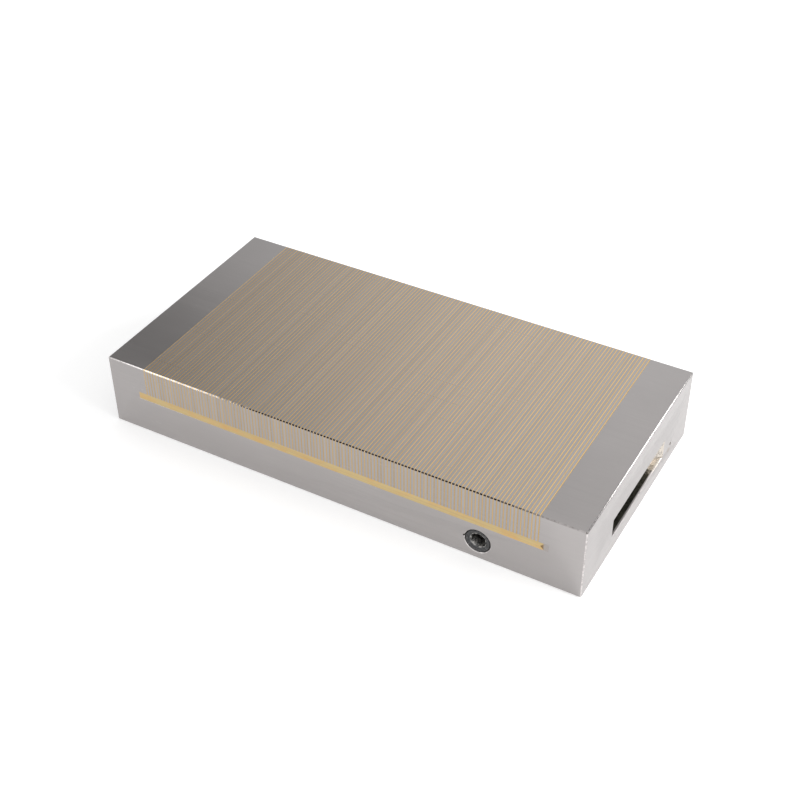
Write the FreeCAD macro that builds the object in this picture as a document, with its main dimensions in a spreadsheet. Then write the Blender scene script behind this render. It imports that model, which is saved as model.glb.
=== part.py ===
"""Permanent magnetic chuck, 300 x 150 mm, with a fine laminated working face.

A steel housing carries a pack of steel and brass plates across its top. The pack stands on a
brass strip along the front and one along the back, and a fixed row of magnets and pole bars
hangs under it. A second row of magnets slides beneath the first by one pole, pushed by an
eccentric shaft with a hexagon socket, and adds to the first row or cancels it.

X runs along the chuck, Y from its front to its back and Z up. The origin is the middle of
the underside. All sizes are in millimetres.
"""

import FreeCAD
import Part
import Sketcher

import math
import os

SIZES = [
    ("length", 300.0, "outside, along X"),
    ("width", 150.0, "outside, along Y"),
    ("height", 46.0, "outside, along Z"),
    ("edge_break", 0.6, "chamfer on the outside edges"),
    ("end_block_least", 25.0, "the solid end blocks are at least this long"),
    ("steel_plate", 1.5, "thickness of a steel plate of the pack"),
    ("brass_plate", 0.5, "thickness of a brass plate of the pack"),
    ("pocket_height", 28.0, "the pocket's height, from the underside up to the pack"),
    ("strip_height", 4.5, "height of the brass strips under the pack"),
    ("strip_overrun", 5.75, "length of a strip past each end of the pack"),
    ("side_wall", 18.0, "thickness of the front and back walls"),
    ("end_wall", 30.0, "thickness of the walls at the ends of the pocket"),
    ("slot_cutter", 150.0, "diameter of the disc cutter of the clamping slots"),
    ("slot_depth", 9.7, "depth of the clamping slots at their middle"),
    ("slot_height", 12.0, "height of the clamping slots"),
    ("slot_rise", 11.3, "the slots' lower face above the underside"),
    ("end_hole", 2.2, "diameter of the small hole in the right end"),
    ("end_hole_depth", 6.0, "depth of that hole"),
    ("end_hole_y", 48.6, "place of that hole along Y"),
    ("end_hole_z", 12.5, "height of that hole"),
    ("cover_flange", 8.5, "width of the cover's seat round the pocket"),
    ("cover_screw_inset", 4.8, "from the pocket's edge to the cover screws"),
    ("cover_plate", 2.4, "thickness of the bottom cover"),
    ("cover_recess", 0.2, "the cover's underside above the housing's"),
    ("cover_gap", 0.2, "gap round the cover"),
    ("cover_corner", 5.0, "corner radius of the cover's recess"),
    ("seal_width", 1.6, "width of the cover seal's groove"),
    ("seal_depth", 0.8, "depth of that groove"),
    ("seal_inset", 1.0, "from the pocket's edge to that groove"),
    ("cover_thread", 3.0, "diameter of the cover screws"),
    ("cover_head", 5.6, "head diameter of the cover screws"),
    ("cover_screw", 8.0, "length of the cover screws"),
    ("cover_socket", 2.0, "hexagon across flats in the cover screws"),
    ("screw_from_bush", 5.45, "from the front bush to the middle of the nearest cover screw"),
    ("hole_play", 0.1, "radial play of a screw in its hole"),
    ("grid_height", 5.0, "height of the fixed magnets and pole bars"),
    ("grid_gap", 0.5, "gap between the fixed grid and the side walls"),
    ("grid_end_gap", 1.5, "least gap between the fixed grid and the end walls"),
    ("sheet_thickness", 0.3, "thickness of the brass sheet under the fixed grid"),
    ("slide_gap", 0.1, "gap between that sheet and the carrier"),
    ("wear_strip", 1.4, "thickness of the bronze strips that the carrier runs on"),
    ("wear_strip_width", 8.0, "width of those strips"),
    ("carrier_side_gap", 0.3, "gap between the carrier and the side walls"),
    ("carrier_end_gap", 2.0, "gap left at the end of the carrier's travel"),
    ("carrier_side", 10.0, "width of the carrier's side rails"),
    ("bridge_wall", 5.0, "least wall of the bridge beside its slot"),
    ("bridge_roof", 2.4, "thickness of the bridge over its slot"),
    ("cam_plate", 2.0, "thickness of the hardened plates in the slot"),
    ("throw", 3.0, "eccentricity of the shaft and thickness of a pole bar"),
    ("lobe_step", 0.25, "least step from the front journal down to the eccentric"),
    ("shaft_from_end", 60.0, "from the housing's right end to the shaft"),
    ("shaft_rise", 12.0, "height of the shaft above the underside"),
    ("shaft_diameter", 15.0, "diameter of the shaft in the front wall"),
    ("shaft_play", 0.05, "radial play of the shaft in its bushes"),
    ("shaft_set_back", 0.3, "the shaft's face behind the housing's"),
    ("bush_wall", 1.0, "wall of the bronze bushes"),
    ("front_bush_length", 8.0, "length of the front bush"),
    ("rear_bush_length", 12.0, "length of the rear bush"),
    ("mouth_chamfer", 0.4, "chamfer at the mouth of the shaft's bore"),
    ("index_radius", 0.7, "radius of the index notch beside the bore"),
    ("index_depth", 0.6, "depth of the index notch"),
    ("index_angle", 9.0, "degrees of the index notch above the shaft's left"),
    ("socket_flats", 8.0, "hexagon across flats of the operating socket"),
    ("socket_depth", 12.0, "depth of the operating socket"),
    ("lead_in", 11.4, "diameter of the lead-in of the socket"),
    ("lead_in_depth", 1.0, "depth of the lead-in"),
    ("ring_from_face", 2.6, "from the front face to the seal ring's groove"),
    ("ring_groove", 2.2, "width of the seal ring's groove"),
    ("ring_section", 1.6, "depth of the seal ring's groove"),
    ("ring_play", 0.1, "play of the seal ring in its groove"),
    ("stop_from_face", 6.9, "from the front face to the stop screw"),
    ("stop_thread", 4.0, "diameter of the stop screw"),
    ("stop_nose", 2.4, "diameter of the stop screw's nose"),
    ("stop_reach", 1.9, "reach of the nose into the shaft"),
    ("stop_play", 0.3, "play of the nose in the shaft's groove"),
]

WORKED = [
    ("plate_pitch", "sizes.steel_plate + sizes.brass_plate"),
    (
        "steel_count",
        "floor((sizes.length - 2 * sizes.end_block_least - sizes.brass_plate) / worked.plate_pitch)",
    ),
    ("pack_length", "worked.steel_count * worked.plate_pitch + sizes.brass_plate"),
    ("strip_floor", "sizes.pocket_height - sizes.strip_height"),
    ("strip_length", "worked.pack_length + 2 * sizes.strip_overrun"),
    ("pocket_length", "sizes.length - 2 * sizes.end_wall"),
    ("pocket_width", "sizes.width - 2 * sizes.side_wall"),
    ("seat_height", "sizes.cover_plate + sizes.cover_recess"),
    ("recess_length", "worked.pocket_length + 2 * sizes.cover_flange"),
    ("recess_width", "worked.pocket_width + 2 * sizes.cover_flange"),
    ("shaft_x", "sizes.length / 2 - sizes.shaft_from_end"),
    ("bore", "sizes.shaft_diameter + 2 * sizes.shaft_play"),
    ("eccentric", "sizes.shaft_diameter - 2 * (sizes.throw + sizes.lobe_step)"),
    ("rear_bore", "worked.eccentric + 2 * sizes.shaft_play"),
    ("front_bush", "worked.bore + 2 * sizes.bush_wall"),
    ("rear_bush", "worked.rear_bore + 2 * sizes.bush_wall"),
    ("pole_pitch", "2 * sizes.throw"),
    (
        "fixed_count",
        "floor((worked.pocket_length - 2 * sizes.grid_end_gap + sizes.throw) / worked.pole_pitch)",
    ),
    ("grid_length", "worked.fixed_count * worked.pole_pitch - sizes.throw"),
    ("grid_width", "worked.pocket_width - 2 * sizes.grid_gap"),
    ("grid_floor", "sizes.pocket_height - sizes.grid_height"),
    ("sheet_floor", "worked.grid_floor - sizes.sheet_thickness"),
    ("carrier_top", "worked.sheet_floor - sizes.slide_gap"),
    ("carrier_floor", "worked.seat_height + sizes.wear_strip"),
    ("carrier_low", "sizes.carrier_end_gap - worked.pocket_length / 2"),
    ("carrier_high", "worked.pocket_length / 2 - sizes.carrier_end_gap - worked.pole_pitch"),
    ("carrier_half", "worked.pocket_width / 2 - sizes.carrier_side_gap"),
    ("window_half", "worked.carrier_half - sizes.carrier_side"),
    # the journal's path is a cosine and the carrier's a straight line, 0.211 throws apart at most
    ("cam_gap", "worked.eccentric + 2 * (0.211 * sizes.throw + 0.15)"),
    ("slot_middle", "worked.shaft_x - sizes.throw"),
    ("slot_half", "worked.cam_gap / 2 + sizes.cam_plate"),
    ("slot_roof", "worked.carrier_top - sizes.bridge_roof"),
    ("window_low", "worked.pole_pitch - worked.grid_length / 2"),
    (
        "moving_count",
        "floor(((worked.slot_middle - worked.slot_half - sizes.bridge_wall - worked.window_low)"
        " / sizes.throw + 1) / 2)",
    ),
    (
        "window_high",
        "worked.window_low + (2 * worked.moving_count - 1) * sizes.throw",
    ),
    (
        "end_pole",
        "worked.window_low + sizes.throw / 2 + worked.pole_pitch"
        " * ceil((worked.slot_middle + worked.slot_half + sizes.bridge_wall"
        " + sizes.throw - worked.window_low) / worked.pole_pitch)",
    ),
    ("screw_pitch", "worked.shaft_x + worked.front_bush / 2 + sizes.screw_from_bush"),
    ("screw_line", "worked.pocket_width / 2 + sizes.cover_screw_inset"),
    ("screw_start", "worked.seat_height - sizes.cover_plate + 0.1"),
]

AXIS_SIGN = {"XY": 1, "XZ": -1, "YZ": 1}

document = FreeCAD.newDocument("magnetic_chuck")
nodes = []


def make_sheet():
    """The driving sizes, one to a row."""
    sheet = document.addObject("Spreadsheet::Sheet", "sizes")
    for row, (alias, value, words) in enumerate(SIZES, start=1):
        sheet.set(f"A{row}", words)
        sheet.set(f"B{row}", str(value))
        sheet.setAlias(f"B{row}", alias)
    document.recompute()


def make_worked():
    """What follows from the driving sizes."""
    worked = document.addObject("App::VarSet", "worked")
    for name, formula in WORKED:
        worked.addProperty("App::PropertyFloat", name, "Worked")
        worked.setExpression(name, formula)
    document.recompute()
    return worked


make_sheet()
worked_out = make_worked()


def number(formula):
    """The present value of a formula."""
    return float(worked_out.evalExpression(str(formula)))


def new_body(name):
    body = document.addObject("PartDesign::Body", name)
    body.Label = name
    nodes.append(body)
    return body


def origin_feature(body, role):
    return next(item for item in body.Origin.OriginFeatures if item.Role == role)


def draw(body, name, plane, level, shapes, shift=("0", "0")):
    """A sketch parallel to a plane of the body, at a level along that plane's axis."""
    sketch = body.newObject("Sketcher::SketchObject", name)
    sketch.AttachmentSupport = (origin_feature(body, plane + "_Plane"), [""])
    sketch.MapMode = "FlatFace"
    sketch.setExpression("AttachmentOffset.Base.x", shift[0])
    sketch.setExpression("AttachmentOffset.Base.y", shift[1])
    sketch.setExpression("AttachmentOffset.Base.z", f"{AXIS_SIGN[plane]} * ({level})")
    for shape in shapes:
        shape(sketch)
    return sketch


def fix(sketch, geometry, point, at):
    """Ties a point of the sketch to two formulas."""
    for kind, formula in zip(("DistanceX", "DistanceY"), at):
        constraint = Sketcher.Constraint(kind, -1, 1, geometry, point, number(formula))
        index = sketch.addConstraint(constraint)
        sketch.setExpression(f"Constraints[{index}]", str(formula))


def polygon(points):
    """A closed outline through points given as pairs of formulas."""

    def add_to(sketch):
        places = [FreeCAD.Vector(number(u), number(v), 0) for u, v in points]
        first = sketch.GeometryCount
        count = len(points)
        for index in range(count):
            line = Part.LineSegment(places[index], places[(index + 1) % count])
            sketch.addGeometry(line)
        for index in range(count):
            after = first + (index + 1) % count
            sketch.addConstraint(
                Sketcher.Constraint("Coincident", first + index, 2, after, 1)
            )
            fix(sketch, first + index, 1, points[index])

    return add_to


def rectangle(low, high):
    return polygon([low, (high[0], low[1]), high, (low[0], high[1])])


def centred(length, width):
    """A rectangle about the sketch's origin."""
    return rectangle(
        (f"-({length}) / 2", f"-({width}) / 2"), (f"({length}) / 2", f"({width}) / 2")
    )


def hexagon(across_flats, centre=("0", "0")):
    """A hexagon with two corners in line with the sketch's second axis."""
    points = []
    for corner in range(6):
        turn = math.radians(30 + 60 * corner)
        reach = f"({across_flats}) / {math.sqrt(3):.9f}"
        points.append(
            (
                f"{centre[0]} + {reach} * {math.cos(turn):.9f}",
                f"{centre[1]} + {reach} * {math.sin(turn):.9f}",
            )
        )
    return polygon(points)


def circle(diameter, centre=("0", "0")):
    def add_to(sketch):
        place = FreeCAD.Vector(number(centre[0]), number(centre[1]), 0)
        radius = number(diameter) / 2
        index = sketch.addGeometry(Part.Circle(place, FreeCAD.Vector(0, 0, 1), radius))
        constraint = Sketcher.Constraint("Diameter", index, 2 * radius)
        row = sketch.addConstraint(constraint)
        sketch.setExpression(f"Constraints[{row}]", str(diameter))
        fix(sketch, index, 3, centre)

    return add_to


def plane_sign(sketch):
    role = sketch.AttachmentSupport[0][0].Role
    return AXIS_SIGN[role.replace("_Plane", "")]


def add(body, sketch, depth, toward=1):
    """Pads a sketch towards the high or low end of its axis."""
    pad = body.newObject("PartDesign::Pad", sketch.Name + "_pad")
    pad.Profile = sketch
    pad.Reversed = toward * plane_sign(sketch) < 0
    pad.setExpression("Length", depth)
    sketch.Visibility = False
    return pad


def cut(body, sketch, depth, toward=1):
    """Cuts a sketch towards the high or low end of its axis."""
    pocket = body.newObject("PartDesign::Pocket", sketch.Name + "_cut")
    pocket.Profile = sketch
    pocket.Reversed = toward * plane_sign(sketch) > 0
    pocket.setExpression("Length", depth)
    sketch.Visibility = False
    return pocket


def turn(body, sketch, kind="Revolution", angle="360"):
    """Turns a sketch about its own second axis, the same amount to each side."""
    turned = body.newObject("PartDesign::" + kind, sketch.Name + "_turned")
    turned.Profile = sketch
    turned.ReferenceAxis = (sketch, ["V_Axis"])
    turned.Midplane = True
    turned.setExpression("Angle", angle)
    sketch.Visibility = False
    return turned


def row(body, features, count, pitch):
    """Repeats features along X."""
    pattern = body.newObject("PartDesign::LinearPattern", body.Name + "_row")
    pattern.Originals = features
    pattern.Direction = (origin_feature(body, "X_Axis"), [""])
    pattern.setExpression("Occurrences", count)
    pattern.setExpression("Length", f"(({count}) - 1) * ({pitch})")
    body.Tip = pattern
    return pattern


def mirror(body, features, plane):
    """Mirrors features in a plane of the body."""
    mirrored = body.newObject("PartDesign::Mirrored", body.Name + "_mirror")
    mirrored.Originals = features
    mirrored.MirrorPlane = (origin_feature(body, plane + "_Plane"), [""])
    body.Tip = mirrored
    return mirrored


def dress(body, kind, base, size, wanted):
    """A chamfer or a fillet on the edges of base whose sample points all pass a test."""
    document.recompute()
    names = []
    for index, edge in enumerate(base.Shape.Edges, start=1):
        first, last = edge.ParameterRange
        samples = [edge.valueAt(first + part * (last - first) / 4) for part in range(5)]
        if wanted(samples):
            names.append(f"Edge{index}")
    feature = body.newObject("PartDesign::" + kind, f"{body.Name}_{kind.lower()}")
    feature.Base = (base, names)
    feature.setExpression("Radius" if kind == "Fillet" else "Size", size)
    body.Tip = feature
    return feature


def near(value, formula):
    return abs(value - number(formula)) < 1e-4


def upright_corner(x, y):
    """A test for the four upright edges at plus and minus x and y."""

    def wanted(samples):
        return all(near(abs(p.x), x) and near(abs(p.y), y) for p in samples)

    return wanted


def outside_edge(samples):
    """Whether an edge lies on two of the housing's outside faces at once."""
    on_end = all(near(abs(p.x), "sizes.length / 2") for p in samples)
    on_side = all(near(abs(p.y), "sizes.width / 2") for p in samples)
    on_top = all(near(p.z, "sizes.height") for p in samples)
    on_bottom = all(near(p.z, "0") for p in samples)
    return on_end + on_side + on_top + on_bottom >= 2


def rim(radius, y):
    """A test for a round edge about the shaft's axis."""

    def wanted(samples):
        for p in samples:
            reach = math.hypot(p.x - number("worked.shaft_x"), p.z - number("sizes.shaft_rise"))
            if not (near(reach, radius) and near(p.y, y)):
                return False
        return True

    return wanted


FRONT = "-sizes.width / 2"
BACK = "sizes.width / 2"
INNER_FRONT = "-worked.pocket_width / 2"
INNER_BACK = "worked.pocket_width / 2"
SHAFT = ("worked.shaft_x", "sizes.shaft_rise")
ECCENTRIC = ("worked.slot_middle", "sizes.shaft_rise")
STOP_Y = f"({FRONT} + sizes.stop_from_face)"

cover_screws_at = [
    (f"{step} * worked.screw_pitch", f"{side} * worked.screw_line")
    for step in (-1, 0, 1)
    for side in (-1, 1)
]


def circles(diameter, places):
    return [circle(diameter, place) for place in places]


def make_housing():
    """The one-piece steel housing, milled from above, below, the front, the back and the ends."""
    body = new_body("housing")
    block = draw(body, "block", "XY", "0", [centred("sizes.length", "sizes.width")])
    add(body, block, "sizes.height")

    channel = rectangle(
        ("-worked.pack_length / 2", "sizes.pocket_height"),
        ("worked.pack_length / 2", "sizes.height"),
    )
    cut(body, draw(body, "channel", "XZ", FRONT, [channel]), "sizes.width")

    strip = rectangle(
        ("-worked.strip_length / 2", "worked.strip_floor"),
        ("worked.strip_length / 2", "sizes.pocket_height"),
    )
    cut(body, draw(body, "front_strip_slot", "XZ", FRONT, [strip]), "sizes.side_wall")
    cut(body, draw(body, "back_strip_slot", "XZ", BACK, [strip]), "sizes.side_wall", -1)

    pocket = centred("worked.pocket_length", "worked.pocket_width")
    cut(body, draw(body, "pocket", "XY", "0", [pocket]), "sizes.pocket_height")

    recess = centred("worked.recess_length", "worked.recess_width")
    recess_cut = cut(body, draw(body, "recess", "XY", "0", [recess]), "worked.seat_height")
    corner = upright_corner("worked.recess_length / 2", "worked.recess_width / 2")
    dress(body, "Fillet", recess_cut, "sizes.cover_corner", corner)

    cutter = circle(
        "sizes.slot_cutter",
        ("sizes.length / 2 - sizes.slot_depth + sizes.slot_cutter / 2", "0"),
    )
    slot = draw(body, "slot", "XY", "sizes.slot_rise", [cutter])
    mirror(body, [cut(body, slot, "sizes.slot_height")], "YZ")

    bore = draw(body, "bore", "XZ", FRONT, [circle("worked.bore", SHAFT)])
    bore_cut = cut(body, bore, "sizes.side_wall")
    dress(body, "Chamfer", bore_cut, "sizes.mouth_chamfer", rim("worked.bore / 2", FRONT))
    front_seat = draw(body, "front_bush_seat", "XZ", INNER_FRONT, [circle("worked.front_bush", SHAFT)])
    cut(body, front_seat, "sizes.front_bush_length", -1)
    rear_seat = draw(body, "rear_bush_seat", "XZ", INNER_BACK, [circle("worked.rear_bush", SHAFT)])
    cut(body, rear_seat, "sizes.rear_bush_length")

    index_reach = "(worked.bore / 2 + sizes.index_radius / 2)"
    index_place = (
        f"worked.shaft_x - {index_reach} * cos(sizes.index_angle * 1deg)",
        f"sizes.shaft_rise + {index_reach} * sin(sizes.index_angle * 1deg)",
    )
    index = draw(body, "index_notch", "XZ", FRONT, [circle("2 * sizes.index_radius", index_place)])
    cut(body, index, "sizes.index_depth")

    stop = circle("sizes.stop_thread", ("worked.shaft_x", STOP_Y))
    cut(body, draw(body, "stop_hole", "XY", "0", [stop]), "sizes.shaft_rise")

    taps = circles("sizes.cover_thread + 2 * sizes.hole_play", cover_screws_at)
    tap_depth = "sizes.cover_screw - sizes.cover_plate + 1"
    cut(body, draw(body, "cover_holes", "XY", "worked.seat_height", taps), tap_depth)

    peg = circle("sizes.end_hole", ("sizes.end_hole_y", "sizes.end_hole_z"))
    peg_sketch = draw(body, "end_hole", "YZ", "sizes.length / 2", [peg])
    last = cut(body, peg_sketch, "sizes.end_hole_depth", -1)
    dress(body, "Chamfer", last, "sizes.edge_break", outside_edge)


def make_plates(name, thickness, first, count):
    """A row of upright plates of the pack, brazed to one another and ground flush."""
    body = new_body(name)
    outline = rectangle((FRONT, "sizes.pocket_height"), (BACK, "sizes.height"))
    plate = add(body, draw(body, name + "_outline", "YZ", first, [outline]), thickness)
    row(body, [plate], count, "worked.plate_pitch")


def make_strip(name, low_y):
    """A brass strip brazed on a side wall, under the pack."""
    body = new_body(name)
    outline = rectangle(
        ("-worked.strip_length / 2", low_y),
        ("worked.strip_length / 2", f"{low_y} + sizes.side_wall"),
    )
    sketch = draw(body, name + "_outline", "XY", "worked.strip_floor", [outline])
    add(body, sketch, "sizes.strip_height")


def make_bars(name, floor, height, half_width, first, count):
    """A row of upright bars along Y, one pole pitch apart."""
    body = new_body(name)
    outline = rectangle((first, f"-({half_width})"), (f"{first} + sizes.throw", half_width))
    bar = add(body, draw(body, name + "_outline", "XY", floor, [outline]), height)
    row(body, [bar], count, "worked.pole_pitch")
    return body


def make_fixed_grid():
    """The fixed pole bars and magnets under the pack, and the brass sheet that closes them in."""
    start = "-worked.grid_length / 2"
    half = "worked.grid_width / 2"
    common = ("worked.grid_floor", "sizes.grid_height", half)
    make_bars("fixed_pole_bars", *common, start, "worked.fixed_count")
    make_bars("fixed_magnets", *common, f"{start} + sizes.throw", "worked.fixed_count - 1")
    body = new_body("grid_sheet")
    outline = centred("worked.grid_length", "worked.grid_width")
    add(body, draw(body, "sheet", "XY", "worked.sheet_floor", [outline]), "sizes.sheet_thickness")


def make_cover():
    """The bottom cover, with its seal's groove and countersunk holes."""
    body = new_body("bottom_cover")
    size = [f"worked.recess_{side} - 2 * sizes.cover_gap" for side in ("length", "width")]
    plate = add(
        body,
        draw(body, "cover_plate", "XY", "sizes.cover_recess", [centred(*size)]),
        "sizes.cover_plate",
    )
    corner = upright_corner(f"({size[0]}) / 2", f"({size[1]}) / 2")
    dress(body, "Fillet", plate, "sizes.cover_corner - sizes.cover_gap", corner)
    groove = draw(body, "seal_groove", "XY", "worked.seat_height", seal_outline("0"))
    cut(body, groove, "sizes.seal_depth", -1)
    holes = circles("sizes.cover_thread + 3 * sizes.hole_play", cover_screws_at)
    drilled = cut(
        body, draw(body, "screw_holes", "XY", "sizes.cover_recess", holes), "sizes.cover_plate"
    )

    def mouth(samples):
        inside = all(
            abs(p.x) < number("worked.recess_length / 2 - 1")
            and abs(p.y) < number("worked.recess_width / 2 - 1")
            for p in samples
        )
        return inside and all(near(p.z, "sizes.cover_recess") for p in samples)

    dress(body, "Chamfer", drilled, "(sizes.cover_head - sizes.cover_thread) / 2", mouth)


def seal_outline(play):
    """The ring of the cover's seal, drawn smaller by a play on each side."""
    low = f"2 * (sizes.seal_inset + {play})"
    high = f"2 * (sizes.seal_inset + sizes.seal_width - {play})"
    return [
        centred(f"worked.pocket_length + {low}", f"worked.pocket_width + {low}"),
        centred(f"worked.pocket_length + {high}", f"worked.pocket_width + {high}"),
    ]


def make_cover_seal():
    """The rubber seal in the cover's groove."""
    body = new_body("cover_seal")
    floor = "worked.seat_height - sizes.seal_depth"
    add(body, draw(body, "seal", "XY", floor, seal_outline("0.05")), "sizes.seal_depth")


def make_cover_screws():
    """Countersunk screws that hold the cover."""
    body = new_body("cover_screws")
    start = "worked.screw_start"
    radius = "sizes.cover_thread / 2"
    head = "sizes.cover_head / 2"
    cone = f"({start} + {head} - {radius})"
    tip = f"({start} + sizes.cover_screw)"
    profile = polygon([("0", start), (head, start), (radius, cone), (radius, tip), ("0", tip)])
    for x, y in cover_screws_at:
        turn(body, draw(body, "screw_profile", "XZ", y, [profile], (x, "0")))
    sockets = [hexagon("sizes.cover_socket", place) for place in cover_screws_at]
    cut(body, draw(body, "screw_sockets", "XY", start, sockets), "sizes.cover_thread / 2 - 0.3")


def make_wear_strips():
    """Two bronze strips on the cover, under the carrier's side rails."""
    body = new_body("wear_strips")
    centre = "(worked.carrier_half - sizes.carrier_side / 2)"
    strips = []
    for side in (-1, 1):
        middle = f"{side} * {centre}"
        strips.append(
            rectangle(
                ("worked.carrier_low", f"{middle} - sizes.wear_strip_width / 2"),
                (
                    "worked.carrier_high + worked.pole_pitch",
                    f"{middle} + sizes.wear_strip_width / 2",
                ),
            )
        )
    add(body, draw(body, "strips", "XY", "worked.seat_height", strips), "sizes.wear_strip")


def make_bushes():
    """The two bronze bushes that the shaft turns in."""
    front = new_body("front_bush")
    rings = [circle("worked.front_bush", SHAFT), circle("worked.bore", SHAFT)]
    add(front, draw(front, "front_ring", "XZ", INNER_FRONT, rings), "sizes.front_bush_length", -1)
    rear = new_body("rear_bush")
    rings = [circle("worked.rear_bush", SHAFT), circle("worked.rear_bore", SHAFT)]
    add(rear, draw(rear, "rear_ring", "XZ", INNER_BACK, rings), "sizes.rear_bush_length")


def make_stop_screw():
    """The dog-point screw that holds the shaft in and stops it at each end of its half turn."""
    body = new_body("stop_screw")
    place = ("worked.shaft_x", STOP_Y)
    bottom = "0.5"
    shoulder = "(sizes.shaft_rise - worked.bore / 2 - 0.2)"
    tip = "(sizes.shaft_rise - sizes.shaft_diameter / 2 + sizes.stop_reach)"
    thread = circle("sizes.stop_thread - 2 * sizes.hole_play", place)
    add(body, draw(body, "stop_thread", "XY", bottom, [thread]), f"{shoulder} - {bottom}")
    nose = draw(body, "stop_nose", "XY", shoulder, [circle("sizes.stop_nose", place)])
    add(body, nose, f"{tip} - {shoulder}")
    socket = hexagon("sizes.stop_thread / 2", place)
    cut(body, draw(body, "stop_socket", "XY", bottom, [socket]), "sizes.stop_thread / 2")


def make_shaft():
    """The eccentric shaft: front journal with its socket, eccentric, and rear journal."""
    body = new_body("cam_shaft")
    face = f"({FRONT} + sizes.shaft_set_back)"
    journal = draw(body, "front_journal", "XZ", face, [circle("sizes.shaft_diameter", SHAFT)])
    front = add(body, journal, "sizes.side_wall - sizes.shaft_set_back")
    dress(body, "Chamfer", front, "sizes.mouth_chamfer", rim("sizes.shaft_diameter / 2", face))
    lobe = draw(body, "eccentric", "XZ", INNER_FRONT, [circle("worked.eccentric", ECCENTRIC)])
    add(body, lobe, "worked.pocket_width")
    tail = draw(body, "rear_journal", "XZ", INNER_BACK, [circle("worked.eccentric", SHAFT)])
    add(body, tail, "sizes.rear_bush_length - 0.5")

    ring = [
        circle("sizes.shaft_diameter + 1", SHAFT),
        circle("sizes.shaft_diameter - 2 * sizes.ring_section", SHAFT),
    ]
    ring_y = f"{FRONT} + sizes.ring_from_face"
    cut(body, draw(body, "ring_groove", "XZ", ring_y, ring), "sizes.ring_groove")

    floor = "(sizes.shaft_diameter / 2 - sizes.stop_reach - sizes.stop_play)"
    half = "(sizes.stop_nose / 2 + sizes.stop_play)"
    track = rectangle(
        (floor, f"{STOP_Y} - {half}"), ("sizes.shaft_diameter / 2 + 1", f"{STOP_Y} + {half}")
    )
    track_sketch = draw(body, "stop_track", "XY", "sizes.shaft_rise", [track], ("worked.shaft_x", "0"))
    turn(body, track_sketch, "Groove", f"180 + 2 * asin({half} / {floor}) / 1deg")

    cone = polygon(
        [
            ("0", face),
            ("sizes.lead_in / 2", face),
            ("sizes.lead_in / 2 - sizes.lead_in_depth", f"{face} + sizes.lead_in_depth"),
            ("0", f"{face} + sizes.lead_in_depth"),
        ]
    )
    cone_sketch = draw(body, "lead_in", "XY", "sizes.shaft_rise", [cone], ("worked.shaft_x", "0"))
    turn(body, cone_sketch, "Groove")
    socket = draw(body, "socket", "XZ", face, [hexagon("sizes.socket_flats", SHAFT)])
    cut(body, socket, "sizes.socket_depth")


def make_seal_ring():
    """The rubber ring in the shaft's front groove."""
    body = new_body("seal_ring")
    inner = "sizes.shaft_diameter - 2 * sizes.ring_section + sizes.ring_play"
    rings = [circle("sizes.shaft_diameter", SHAFT), circle(inner, SHAFT)]
    start = f"{FRONT} + sizes.ring_from_face + sizes.ring_play"
    ring = draw(body, "ring", "XZ", start, rings)
    add(body, ring, "sizes.ring_groove - 2 * sizes.ring_play")


def make_carrier():
    """The sliding frame: two windows for magnets and a bridge with a slot across it."""
    body = new_body("carrier_frame")
    outline = rectangle(
        ("worked.carrier_low", "-worked.carrier_half"),
        ("worked.carrier_high", "worked.carrier_half"),
    )
    height = "worked.carrier_top - worked.carrier_floor"
    add(body, draw(body, "frame", "XY", "worked.carrier_floor", [outline]), height)
    long_window = rectangle(
        ("worked.window_low", "-worked.window_half"),
        ("worked.window_high", "worked.window_half"),
    )
    short_window = rectangle(
        ("worked.end_pole - 1.5 * sizes.throw", "-worked.window_half"),
        ("worked.end_pole + 1.5 * sizes.throw", "worked.window_half"),
    )
    windows = draw(body, "windows", "XY", "worked.carrier_floor", [long_window, short_window])
    cut(body, windows, height)
    slot = rectangle(
        ("worked.slot_middle - worked.slot_half", "worked.carrier_floor"),
        ("worked.slot_middle + worked.slot_half", "worked.slot_roof"),
    )
    slot_sketch = draw(body, "bridge_slot", "XZ", "-worked.carrier_half", [slot])
    cut(body, slot_sketch, "2 * worked.carrier_half")


def make_cam_plates():
    """Hardened plates on both sides of the bridge's slot."""
    body = new_body("cam_plates")
    plates = []
    for side in (-1, 1):
        inner = f"worked.slot_middle + {side} * worked.cam_gap / 2"
        outer = f"worked.slot_middle + {side} * worked.slot_half"
        near_x, far_x = (outer, inner) if side < 0 else (inner, outer)
        plates.append(
            rectangle((near_x, "-worked.carrier_half + 0.5"), (far_x, "worked.carrier_half - 0.5"))
        )
    floor = "worked.carrier_floor + 0.3"
    add(body, draw(body, "plates", "XY", floor, plates), "worked.slot_roof - worked.carrier_floor - 0.3")


def make_moving_grid():
    """The magnets and pole bars bonded into the carrier's windows."""
    floor = "worked.carrier_floor"
    height = "worked.carrier_top - worked.carrier_floor"
    half = "worked.window_half"
    start = "worked.window_low"
    poles = make_bars("moving_pole_bars", floor, height, half, start, "worked.moving_count")
    magnets = make_bars(
        "moving_magnets", floor, height, half, f"{start} + sizes.throw", "worked.moving_count - 1"
    )
    end = "worked.end_pole"
    last_pole = rectangle(
        (f"{end} - sizes.throw / 2", f"-{half}"), (f"{end} + sizes.throw / 2", half)
    )
    add(poles, draw(poles, "end_pole_bar", "XY", floor, [last_pole]), height)
    for side in (-1, 1):
        middle = f"{end} + {side} * sizes.throw"
        magnet = rectangle(
            (f"{middle} - sizes.throw / 2", f"-{half}"), (f"{middle} + sizes.throw / 2", half)
        )
        add(magnets, draw(magnets, "end_magnet", "XY", floor, [magnet]), height)


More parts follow.
